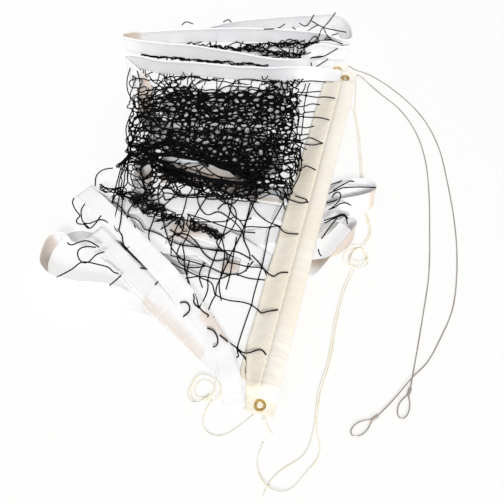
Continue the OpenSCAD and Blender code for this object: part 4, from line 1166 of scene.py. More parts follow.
class Band:
    """The shape of one side band: where its canvas lies at each place along and across it."""

    def __init__(self, middle, foot_z, drop, foot_left, foot_right, seed, start, hole):
        self.middle, self.foot_z, self.drop = middle, foot_z, drop
        self.foot_left, self.foot_right, self.seed = foot_left, foot_right, seed
        self.start, self.hole = start, hole

    def at(self, across, along, z):
        """Points of the frame, in metres, along mm from the band's foot."""
        return band_place(across, along + self.start, z)

    def hole_at(self):
        """The middle of the foot grommet, in metres."""
        return self.at(*self.hole, self.foot_z)

    def facts(self, y):
        """Middle height, half height of the sleeve, fall of the flat part, left edge and right fold at y."""
        rise, swell = step01((y - 31) / 20), step01((y - 33) / 19)
        mid = self.foot_z + (self.middle - self.foot_z) * rise
        half = FLAT_HALF + (SLEEVE_HALF - FLAT_HALF) * swell * (1 + 0.03 * waves(y, self.seed, 160))
        left = self.foot_left + (FLAT_END - self.foot_left) * np.clip((y - 8) / 130.0, 0, 1)
        left = left + 0.7 * waves(y, self.seed + 1, 130) * rise
        right = self.foot_right + (FOLD_AT - self.foot_right) * step01((y - 20) / 60)
        return mid, half, self.drop * rise, left, right

    def faces(self, y):
        """At y: places across, and the heights there of the top and under face, outside and then inside."""
        mid, half, drop, left, right = (float(v) for v in self.facts(np.float64(y)))
        flat = np.linspace(left, SEAM_AT, SEAM_STEP + 1, endpoint=False)
        bow = SEAM_AT + (right - SEAM_AT) * (1 - np.cos(np.linspace(0, math.pi, 13))) / 2
        u = (SEAM_AT - flat) / (SEAM_AT - left)
        low = mid - drop * step01(u)
        wave = (0.5 * waves(y + flat * 0.6, self.seed + 2, 75) + 0.35 * waves(y - flat, self.seed + 3, 28)) * u
        hem = 0.35 if 54 < y < 118 or y < 50 else 0.0
        c = np.clip((bow - (SEAM_AT + right) / 2) / ((right - SEAM_AT) / 2), -1, 1)
        arch = (1 - c * c) ** 0.62 * half
        pucker = (0.55 * waves(y + 2.0 * bow, self.seed + 4, 18) * np.exp(-((bow - SEAM_AT) / 9) ** 2)
                  + 0.35 * waves(y + 0.3 * bow, self.seed + 5, 26) - 1.3 * np.exp(-((bow - SEAM_AT) / 2.5) ** 2))
        top = np.concatenate([low + wave + FLAT_HALF + hem * 0.6,
                              mid + np.maximum(arch, 0.6) + pucker + hem * 0.6])
        under = np.concatenate([low + wave - FLAT_HALF, mid - np.maximum(arch, 0.6)])
        across = np.concatenate([flat, bow])
        wall = np.concatenate([np.full(len(flat), 0.78), np.minimum(1.1, np.maximum(arch, 0.6) * 0.75)])
        return across, top, under, top - wall, under + wall


def band_skin(name, band):
    """A band's canvas: one strip folded round the rod, its two edges sewn together at the left."""
    stops = np.unique(np.concatenate([np.arange(0, 160, 3.0), np.arange(160, BAND_L, 7.0), [BAND_L]]))
    rings, tone_and_shade = [], []
    for y in stops:
        across, top, under, top_in, under_in = band.faces(y)
        outer = [*zip(across, top), *zip(across[:-1][::-1], under[:-1][::-1])]
        shy = across.copy()
        shy[-1] -= 1.1
        inner = [*zip(shy, under_in), *zip(shy[:-1][::-1], top_in[:-1][::-1])]
        ring = np.array(outer + inner)
        # Painted shade: darker in the seam's crease and at the right-hand fold; left of the seam the flap takes its
        # golden tone, with painted shade for its slope
        crease = np.exp(-((ring[:, 0] - SEAM_AT) / 2.2) ** 2) * 0.8
        rim = np.exp(-((ring[:, 0] - FOLD_AT) / 2.0) ** 2) * 0.55
        tone_and_shade.append(np.clip(0.75 * (1 - step01((ring[:, 0] - SEAM_AT + 3) / 6)) + crease + rim, 0, 1))
        rings.append(band.at(ring[:, 0], y, ring[:, 1]))
    piece = skin(name, np.array(rings))
    keep_tone_and_shade(piece, tone_and_shade)
    return piece


HOLE_R = 0.0078


def punched(piece, at):
    """A grommet's hole through a piece, upright at a point in metres."""
    bpy.ops.mesh.primitive_cylinder_add(vertices=36, radius=HOLE_R, depth=0.02, location=tuple(at))
    cutter = bpy.context.object
    cut = piece.modifiers.new("Hole", "BOOLEAN")
    cut.operation, cut.object, cut.solver = "DIFFERENCE", cutter, "EXACT"
    piece.data = baked(piece, cut)
    bpy.data.objects.remove(cutter)


# Height of the middle and at the foot, fall of the flat part, left and right edge at the foot, seed, start, and the
# grommet's place across and along, in mm
BANDS = {"front": Band(31.7, 3.76, 19.0, -40.0, 22.0, 61, 0.0, (-11.0, 18.0)),
         "back": Band(11.7, 2.16, 3.0, -71.6, 11.0, 71, BAND_STAGGER, (-45.0, 18.0))}


class NET_OT_side_bands(bpy.types.Operator):
    """The canvas bands at the net's two ends, each sewn round its rod."""

    bl_idname = "net.side_bands"
    bl_label = "Side bands"

    def execute(self, context):
        along = np.arange(6, BAND_L - 6, 5.0)
        for name, band in BANDS.items():
            piece = band_skin("side_band_" + name + "_canvas", band)
            punched(piece, band.hole_at())
            finish_piece(piece, colours()["canvas_cloth"], ["side_band_" + name])
            across, top, under = (np.array(rows) for rows in zip(*(band.faces(y)[:3] for y in along)))
            lines = [band.at(across[:, SEAM_STEP] - 1.5, along, top[:, SEAM_STEP] + 0.1),
                     band.at(across[:, SEAM_STEP] - 1.5, along, under[:, SEAM_STEP] - 0.1),
                     band.at(across[:, 1] + 1.0, along, top[:, 1] + 0.1)]
            for y in (47.0, 57.0, 115.0):
                across, top = band.faces(y)[:2]
                lines.append(band.at(across[:-1], y, top[:-1] + 0.1))
            seams = stitch_rows("side_band_" + name + "_seams", lines)
            finish_piece(seams, None)
        return {"FINISHED"}


PATCHES = {"front": (PATCH_FRONT, PATCH_Z), "back": (PATCH_BACK, HEAD_FLAT_Z)}


def patch_hole(at, z):
    """The middle of a patch's grommet, in mm."""
    return [*from_spot(at, PATCH_TURN, -8, -3), z]


class NET_OT_patches(bpy.types.Operator):
    """The canvas patches sewn over the head tape's two ends."""

    bl_idname = "net.patches"
    bl_label = "End patches"

    def execute(self, context):
        section = [[x + math.copysign(0.1 if abs(y - CABLE_Y) < 4 else 0.25, x), y] for x, y in head_outline()]
        for name, (at, z) in PATCHES.items():
            rows = np.array([off_patch(at, along, z) for along in np.linspace(-PATCH_L / 2, PATCH_L / 2, 12)])
            _, up, out = tape_frames(rows)
            s = run_of(rows)
            rings = np.stack([rows[:, :3] + (q[0] + 0.12 * waves(s + q[1], 5, 18))[:, None] * out
                              + q[1] * up for q in section], axis=1)
            rings[..., 2] = np.maximum(rings[..., 2], CLOTH_LOW)
            piece = skin("end_patch_" + name, place(rings))
            punched(piece, place(patch_hole(at, z)))
            finish_piece(piece, colours()["canvas_cloth"], ["head_patch_" + name])
            box = [[*from_spot(at, PATCH_TURN, u, v), z + 1.2]
                   for u, v in ((-19, -22), (19, -22), (19, 14), (-19, 14), (-19, -22))]
            seams = stitch_rows("end_patch_" + name + "_seams", [place(spaced(box, 3))])
            finish_piece(seams, None)
        return {"FINISHED"}


# A grommet's domed flange, from its rim to its bore: radius and height over the cloth, in mm
DOME = [[13.0, 0.06], [12.7, 0.34], [11.6, 0.62], [10.2, 0.78], [8.8, 0.8], [7.6, 0.66], [6.85, 0.3], [6.5, -0.1]]


class NET_OT_grommets(bpy.types.Operator):
    """The four brass grommets, with domed flanges and a rolled bore."""

    bl_idname = "net.grommets"
    bl_label = "Grommets"

    def execute(self, context):
        spots = [("head_grommet_" + name, patch_hole(at, z), 2.3) for name, (at, z) in PATCHES.items()]
        spots += [("foot_grommet_" + name, band.hole_at() * 1000 + MIDDLE, 2.0) for name, band in BANDS.items()]
        for node, at, grip in spots:
            h = grip / 2
            profile = ([[r, h + z] for r, z in DOME] + [[r, -h - z] for r, z in DOME[::-1]]
                       + [[12.6, -h + 0.01], [7.25, -h + 0.01], [7.25, h - 0.01], [12.6, h - 0.01]])
            ring = lathe(node + "_ring", profile, at, (0, 0, 1), 48, closed=True)
            finish_piece(ring, colours()["brass_finish"], [node])
        return {"FINISHED"}


class NET_OT_rods(bpy.types.Operator):
    """The rods in the side bands: turned dowels, in plain wood."""

    bl_idname = "net.rods"
    bl_label = "Rods"

    def execute(self, context):
        for name in ("rod_front", "rod_back"):
            rod = frame["nodes"][name]
            rod.data.materials.clear()
            rod.data.materials.append(colours()["wood_finish"])
        return {"FINISHED"}


# ---------------------------------------------------------------- netting

NET_LONG, NET_TALL = 9.5, 1.0
# Columns of meshes at the usual mesh size, and how many of them lie open in front
ALL_COLUMNS, OPEN_LAYER = 95, 7.4
# Where each row of knots meets the side bands, in mm from their foot
ROW_ENDS = [975, 900, 812, 722, 628, 524, 425, 317, 221, 115, 20]

# Where the open front layer's knots lie, by rows down the net, for the first columns: x, y, z in mm
FRONT_KNOTS = [
    [[246, 372, 14], [236, 272, 44], [224, 186, 44], [208, 96, 44], [212, 3, 36], [167, -83, 34],
     [124, -166, 26], [105, -268, 12], [78, -362, 8], [48, -468, 8], [40, -500, 10]],
    [[148, 366, 14], [156, 262, 52], [142, 170, 52], [124, 84, 50], [108, 0, 42], [89, -80, 36],
     [62, -168, 26], [20, -262, 14], [-2, -334, 10], [-26, -400, 12], [-40, -420, 14]],
    [[48, 372, 14], [66, 255, 55], [58, 168, 54], [50, 82, 52], [46, 0, 44], [38, -80, 36],
     [22, -152, 26], [-4, -228, 15], [-22, -306, 16], [-38, -380, 18], [-46, -392, 20]],
    [[-52, 384, 14], [-24, 262, 55], [-28, 172, 54], [-30, 90, 52], [-32, 10, 44], [-30, -78, 36],
     [-68, -150, 28], [-88, -214, 20], [-76, -282, 18], [-54, -334, 20], [-96, -340, 23]],
    [[-152, 396, 14], [-108, 272, 55], [-108, 186, 54], [-110, 100, 52], [-112, 22, 44], [-110, -66, 36],
     [-152, -120, 30], [-170, -172, 22], [-156, -232, 20], [-136, -282, 22], [-168, -268, 24]],
    [[-250, 412, 14], [-192, 288, 50], [-186, 204, 52], [-182, 118, 50], [-178, 36, 44], [-176, -50, 36],
     [-218, -84, 30], [-236, -128, 24], [-232, -188, 24], [-218, -232, 24], [-238, -196, 26]],
    [[-285, 400, 14], [-268, 300, 40], [-262, 214, 44], [-252, 130, 44], [-242, 40, 40], [-240, -40, 34],
     [-264, -72, 30], [-272, -102, 26], [-258, -150, 26], [-238, -190, 26], [-306, -124, 27]],
]

# Things that the netting lies on: x from and to, y from and to, and height, in mm
UNDER_NET = [(-172, 156, 160, 332, 32), (-168, 142, -14, 164, 24), (-275, 120, -135, -58, 27),
             (-212, 120, -290, -130, 20), (-190, 220, 480, 545, 5.5)]
# Twine that lies on the ground has its middle at this height, in mm
TWINE_LOW = 1.6
# The netting's greatest height under the bands, there in its last columns, and under the long foot tapes, in mm
UNDER_BAND, UNDER_BAND_LAST, UNDER_FOOT = 3.2, 11.3, 7.5


def net_floor(x, y, near):
    """The height that the netting rests on at x, y. near marks the twine of the front layer."""
    low = np.full(x.shape, TWINE_LOW)
    for x0, x1, y0, y1, top in UNDER_NET:
        edge = np.minimum(np.minimum(x - x0, x1 - x), np.minimum(y - y0, y1 - y))
        low = np.maximum(low, TWINE_LOW + (top - TWINE_LOW) * step01(0.5 + edge / 24))
    # The open layer lies on the front band's flap and falls off past its edge
    across, along = band_coordinates(x, y)
    flap = 33.9 - 19 * step01((SEAM_AT - across) / 52) - 11 * step01((-74 - across) / 34)
    on = near & (across > -108) & (across < 0) & (along > 60)
    return np.where(on, np.maximum(low, flap), low)


def net_ceiling(x, y, front, last):
    """The netting passes under the standing runs of the head tape, the bands and the long foot tapes."""
    # It dips between the head tape's front run and its back run, which lies along the line behind
    behind = 401 + 0.185 * (228 - x) + 16
    high = 66 - 56 * step01((y - 350) / 14) + 24 * step01((y - behind) / 8) - 25 * step01((y - 530) / 8)
    across, _ = band_coordinates(x, y)
    under = ~front & (across > -78) & (across < 30)
    high = np.where(under, np.minimum(high, np.where(last, UNDER_BAND_LAST, UNDER_BAND)), high)
    # The long foot tapes run off at a slant: how far off them and how far along them each place is
    off = (x + 350) * 0.745 + (y + 53) * 0.667
    along = (x + 350) * 0.667 - (y + 53) * 0.745
    under = ~front & (off > -82) & (off < 28) & (along > -12) & (along < 505)
    return np.where(under, np.minimum(high, UNDER_FOOT), high)


def pile_left(y):
    """The heap's left edge at y, in mm."""
    return -247 - 26 * np.clip((y - 240) / 100, 0, 1) - 45 * np.clip((20 - y) / 60, 0, 1)


def pile_right(y):
    """The heap's right edge at y, in mm."""
    return 210 + 30 * np.clip((y - 180) / 130, 0, 1) - 16 * np.clip((0 - y) / 80, 0, 1)


def net_start(columns, rows, rng):
    """First places of the knots, columns by rows, with the outer ones tied to tapes and bands."""
    head = edge_of(soft_path(HEAD_ROWS), -HEAD_W / 2) * 1000 + MIDDLE
    foot = edge_of(soft_path(BOTTOM_ROWS), BOTTOM_W / 2) * 1000 + MIDDLE
    tall = np.linspace(0, 1, rows + 1)
    knots = np.zeros((columns + 1, rows + 1, 3))
    # j counts rows and c columns as at the usual mesh size, whatever the mesh size is
    j = tall * 10
    for i in range(columns + 1):
        spots = [np.array([np.interp(i / columns, run_of(p) / run_of(p)[-1], p[:, k]) for k in range(3)])
                 for p in (head, foot)]
        c = ALL_COLUMNS * i / columns
        # Each run of the net lies back over the last, as wide as the pile, with its rows pushed together
        x = -18 + 252 * (4 * abs((c / 12.4 + 0.855) % 1 - 0.5) - 1)
        if c > 62:
            x = float(np.clip(spots[0][0], -265, 238))
        x = x + 10 * np.sin(2.1 * c + 1.3 * j)
        low = -100 + 104 * np.clip((-60 - x) / 217, 0, 1)
        y = 350 + (low - 350) * np.clip(j / 9.1, 0, 1) + 15 * math.sin(0.9 * c) + 8 * np.sin(1.9 * j + c)
        x = np.clip(x, pile_left(y) + 6, pile_right(y) - 6)
        # The pile is thin over the tape at its top and over the one at its foot
        y = np.where((y > 266) & (x > -150) & (x < 75) & (math.sin(12.9 * c) < 0.2), 266 - 0.3 * (y - 266), y)
        y = np.where((y < 20) & (x > -80) & (x < 50) & (math.sin(7.1 * c) < -0.1), 20 + 0.4 * (20 - y), y)
        if spots[0][1] > 480:
            y = np.where(j < 3.5, spots[0][1] - 5 - 24 * j, 352 - (j - 3.4) * 66)
        elif spots[0][1] > 340:
            y = np.maximum(y, spots[0][1] - 25 - 72 * j)
        # The first columns lie on top of the heap and the last ones at its bottom
        z = 62 - 52 * (c - 7) / 88 + 3 * np.sin(1.7 * c + 2.1 * j)
        knots[i] = np.stack([x, y, z], axis=1)
        # The last columns stretch from tape to tape
        if c > 86:
            line = spots[0] + (spots[1] - spots[0]) * tall[:, None]
            knots[i] += (line - knots[i]) * min(1.0, (c - 86) / 6)
        knots[i] += rng.normal(0, 5, (rows + 1, 3)) * [1, 1, 0.4]
        knots[i, 0], knots[i, -1] = spots
        # No knot lies further from the tapes than its twine reaches
        reach = 960 * NET_TALL / rows
        for k, step in [(k, -1) for k in range(1, rows)] + [(k, 1) for k in range(rows - 1, 0, -1)]:
            gap = knots[i, k] - knots[i, k + step]
            far = max(1e-6, np.linalg.norm(gap))
            if c > 60 or far > 1.7 * reach:
                knots[i, k] = knots[i, k + step] + gap * min(1.0, reach / far)
    # The open layer's knots have chosen places
    front = np.array(FRONT_KNOTS, float)
    for i in range(1, columns):
        c = ALL_COLUMNS * i / columns - 1
        if c > 6:
            break
        near, part = int(c), c - int(c)
        column = front[near] * (1 - part) + front[min(near + 1, 6)] * part
        for k in range(3):
            knots[i, 1:-1, k] = np.interp(j, np.arange(11), column[:, k])[1:-1]
    ends = np.interp(j, np.arange(11), ROW_ENDS)
    for i, z, shift in ((0, 33.6, 0), (columns, 13.0, BAND_STAGGER)):
        knots[i, 1:-1] = (band_place(-24.0, ends + shift * (i > 0), z) * 1000 + MIDDLE)[1:-1]
    return knots


def settled_net():
    """Places of all twine, its chains of places by column and row, the knots' index and the columns' count."""
    mesh, rng = sizes().mesh_size, np.random.default_rng(sizes().seed)
    columns, rows, cuts = int(round(NET_LONG / mesh)), int(round(NET_TALL / mesh)), 6
    knots = net_start(columns, rows, rng)
    index = np.arange((columns + 1) * (rows + 1)).reshape(columns + 1, rows + 1)
    flat = knots.reshape(-1, 3)
    points, total = [flat], index.size
    column_of = [np.repeat(np.arange(columns + 1), rows + 1)]
    bars = [(("down", i), index[i, j], index[i, j + 1], i) for i in range(1, columns) for j in range(rows)]
    bars += [(("along", j), index[i, j], index[i + 1, j], i) for j in range(1, rows) for i in range(columns)]
    pairs, chains = [], {}
    share = np.arange(1, cuts)[:, None] / cuts
    open_to = OPEN_LAYER * columns / ALL_COLUMNS
    # Slack twine bows and swings out, and less so in the open layer
    for key, a, b, i in bars:
        gap = max(0.0, 1000 * mesh - np.linalg.norm(flat[b] - flat[a]))
        size = 4 + 0.42 * gap
        if i < open_to:
            size = min(2 + 0.35 * gap, 11) * (0.45 if key[0] == "down" else 1.0)
        bow = rng.normal(0, 1, 3) * [1, 1, 0.35] * size
        swing = rng.normal(0, 1, 3) * [1, 1, 0.3] * 0.7 * size
        points.append(flat[a] + (flat[b] - flat[a]) * share + np.sin(math.pi * share) * bow
                      + np.sin(2 * math.pi * share) * swing)
        spots = [a] + list(range(total, total + cuts - 1)) + [b]
        total += cuts - 1
        column_of.append(np.full(cuts - 1, i))
        pairs += list(zip(spots[:-1], spots[1:]))
        chains.setdefault(key, []).append((i, spots))
    points, column_of = np.concatenate(points), np.concatenate(column_of)
    a, b = np.array(pairs).T
    tied = np.zeros(index.shape, bool)
    tied[:, 0] = tied[:, -1] = tied[0] = tied[-1] = True
    fixed = np.concatenate([tied.ravel(), np.zeros(total - tied.size, bool)])
    knot_rows = np.arange(total) < tied.size
    held = fixed | (column_of < open_to)
    home, rest = points.copy(), 1000 * mesh / cuts
    count = np.maximum(1, np.bincount(a, minlength=total) + np.bincount(b, minlength=total))[:, None]
    # Twine that is stretched pulls its places together; knots stay near their first places
    for _ in range(160):
        leg = points[b] - points[a]
        far = np.maximum(np.linalg.norm(leg, axis=1, keepdims=True), 1e-6)
        give = leg * (1 - rest / far) * 0.5
        move = np.stack([np.bincount(a, give[:, k] + 0.08 * leg[:, k], total)
                         - np.bincount(b, give[:, k] + 0.08 * leg[:, k], total) for k in range(3)], axis=1)
        points = np.where(held[:, None], points, points + 1.6 * move / count)
        points += np.where((~held & knot_rows)[:, None], 0.08 * (home - points), 0)
        x, y, z = points.T
        edge = np.clip(x, pile_left(y), pile_right(y))
        inside = ~held & (column_of * mesh < 8.8) & (y > -95) & (y < 350)
        points[:, 0] = np.where(inside, x + 0.3 * (edge - x), x)
    # Each place moves halfway to the middle of its neighbours, three times
    for _ in range(3):
        middle = np.stack([np.bincount(a, points[b, k], total) + np.bincount(b, points[a, k], total)
                           for k in range(3)], axis=1) / count
        points += np.where(fixed[:, None], 0, 0.5 * (middle - points))
    x, y, z = points.T
    front = column_of < open_to
    z = np.maximum(z, net_floor(x, y, front))
    z = np.minimum(z, net_ceiling(x, y, front, column_of > 87 * columns / ALL_COLUMNS))
    points[:, 2] = np.where(fixed, points[:, 2], z)
    return points, chains, index, columns


# Behind the open layer, no twine is drawn nearer to the foot than this y, in mm
HEAP_END = -106.0


def twine_lines(points, bars, held):
    """The bars joined into lines of twine, without the undrawn ones."""
    lines = []
    for i, spots in bars:
        if i >= held and points[spots, 1].min() < HEAP_END:
            continue
        if lines and lines[-1][-1] == spots[0]:
            lines[-1] += spots[1:]
        else:
            lines.append(list(spots))
    return lines


# Wide gaps in the heap, on the ground, in mm: x, y, half width, half height, turn in degrees and the share of the
# twine that keeps clear of it
WINDOWS = [(-5, 366, 128, 38, 0, 0.32), (-202, 34, 15, 26, -10, 0.9), (-52, 38, 122, 22, -19, 0.96)]


# The heap's small gaps: tries, smallest and largest radius in mm, the share of the twine that keeps clear of them,
# and how near to each other they come, as a share of their radii
GAP_TRIES, GAP_SMALL, GAP_LARGE, GAP_SHARE, GAP_NEAR = 6000, 4.0, 12.0, 0.97, 0.93


def pile_holes(rng):
    """The heap's gaps: the wide ones, and small ones that keep clear of each other."""
    holes = list(WINDOWS)
    for _ in range(GAP_TRIES):
        x, y, r = rng.uniform(-275, 232), rng.uniform(-36, 410), rng.uniform(GAP_SMALL, GAP_LARGE)
        if rng.random() > 0.3 + 0.7 * step01(0.5 + waves(x + 0.6 * y, 5, 130)):
            continue
        if all(math.hypot((x - h[0]) / (h[2] + r), (y - h[1]) / (h[3] + r)) > GAP_NEAR for h in holes):
            flat = rng.uniform(0.7, 1.4)
            holes.append((x, y, r * flat, r / flat, rng.uniform(-90, 90), GAP_SHARE))
    return holes


def parted(line, holes, rng):
    """A line of twine led round the gaps in its way, on their nearer side. The gaps lean towards the camera."""
    eye = np.array(EYE_POINT)
    up = (1 - line[:, 2] / eye[2])[:, None]
    low = eye[:2] + (line[:, :2] - eye[:2]) / up
    for x, y, rx, ry, turned, share in holes:
        c, d = math.cos(math.radians(turned)), math.sin(math.radians(turned))
        off = low - (x, y)
        q = np.stack([(off[:, 0] * c + off[:, 1] * d) / rx, (off[:, 1] * c - off[:, 0] * d) / ry], axis=1)
        inside = np.hypot(*q.T) < 1
        if not inside.any() or rng.random() > share:
            continue
        marks = np.flatnonzero(np.diff(np.concatenate([[0], inside, [0]])))
        for a, b in zip(marks[::2], marks[1::2]):
            if a == 0 or b == len(low):
                continue
            start, end = (math.atan2(q[k, 1], q[k, 0]) for k in (a - 1, b))
            swing = (end - start + math.pi) % (2 * math.pi) - math.pi
            part = np.arange(1, b - a + 1) / (b - a + 1)
            out = 1.14 + rng.uniform(0, 0.2) * np.sin(math.pi * part)
            angle = start + swing * part
            if rx < 1.5 * GAP_LARGE:
                # A small gap has three to five straight sides, as the netting's meshes have
                corner = math.pi / (3 + int(abs(turned)) % 3)
                out *= math.cos(corner) / np.cos(angle % (2 * corner) - corner)
            u, v = rx * out * np.cos(angle), ry * out * np.sin(angle)
            low[a:b] = np.stack([x + u * c - v * d, y + u * d + v * c], axis=1)
    line[:, :2] = eye[:2] + (low - eye[:2]) * up
    return line


def tangle(axis, spread, strands, low, high, curl, rng):
    """Bunched twine: curly strands along an axis of x, y, from one half width to another, between two heights."""
    way = np.array(rounded([[*q, 0.0] for q in axis], 3.0, 2))[:, :2]
    far, lines = run_of(way)[-1], []
    for _ in range(strands):
        a, b = np.sort(rng.uniform(-0.1, 1.1, 2))
        a, b = max(0.0, a - 0.15), min(1.0, b + 0.15)
        t = np.linspace(a, b, max(6, int((b - a) * far / 4)))
        s = t * far
        wide = np.interp(t, [0, 1], spread)
        base = np.stack([np.interp(t, run_of(way) / far, way[:, k]) for k in range(2)], axis=1)
        seeds = rng.integers(0, 9999, 3)
        x = base[:, 0] + 0.9 * wide * waves(s, int(seeds[0]), curl)
        y = base[:, 1] + wide * waves(s, int(seeds[1]), 1.1 * curl)
        z = low + (high - low) * np.clip(0.5 + 0.5 * waves(s, int(seeds[2]), 50), 0, 1)
        lines.append(np.stack([x, y, z], axis=1))
    return lines


class NET_OT_netting(bpy.types.Operator):
    """The knotted twine netting: one net, piled, in three pieces by its columns."""

    bl_idname = "net.netting"
    bl_label = "Netting"

    def execute(self, context):
        s, twine = sizes(), colours()["twine_finish"]
        points, chains, index, columns = settled_net()
        rng = np.random.default_rng(s.seed + 1)
        holes = pile_holes(rng)
        # Each piece's name, its first column and the one after its last, and the solids that it replaces
        thirds = (("upper", 0, 30, ["net_front", "net_pile_upper"]), ("middle", 30, 62, ["net_pile_middle"]),
                  ("lower", 62, 96, ["net_pile_lower"]))
        for name, first, last, nodes in thirds:
            lines, drawn = [], set()
            c0, c1 = (int(round(c * columns / ALL_COLUMNS)) for c in (first, last))
            for bars in chains.values():
                for order in twine_lines(points, [(i, spots) for i, spots in bars if c0 <= i < c1],
                                         OPEN_LAYER * columns / ALL_COLUMNS):
                    lines.append(place(parted(rounded_twine(points[order]), holes, rng)))
                    drawn.update(order)
            if name == "upper":
                lines += [place(rounded(line, 3.0, 1)) for line in LOOSE_TWINE]
                lines += [place(line) for bunch in TANGLES for line in tangle(*bunch, rng)]
            knots = [place(points[index[i, j]]) for i in range(max(1, c0), min(c1, columns))
                     for j in range(1, index.shape[1] - 1) if i < 7 and index[i, j] in drawn]
            piece = grown("netting_" + name, wires("twine_" + name, lines, knots), twine_tree, twine,
                          Thickness=s.twine, Sides=5, Knot_size=s.twine * 1.25, Seed=s.seed)
            finish_piece(piece, None, nodes)
        return {"FINISHED"}


def rounded_twine(rows):
    """A line of twine with one place more between each two, on a smooth curve."""
    rows = np.asarray(rows, float)
    long = np.vstack([2 * rows[0] - rows[1], rows, 2 * rows[-1] - rows[-2]])
    middle = (9 * (long[1:-2] + long[2:-1]) - long[:-3] - long[3:]) / 16
    out = np.empty((2 * len(rows) - 1, 3))
    out[::2], out[1::2] = rows, middle
    out[:, 2] = np.maximum(out[:, 2], TWINE_LOW + 0.2)
    return out


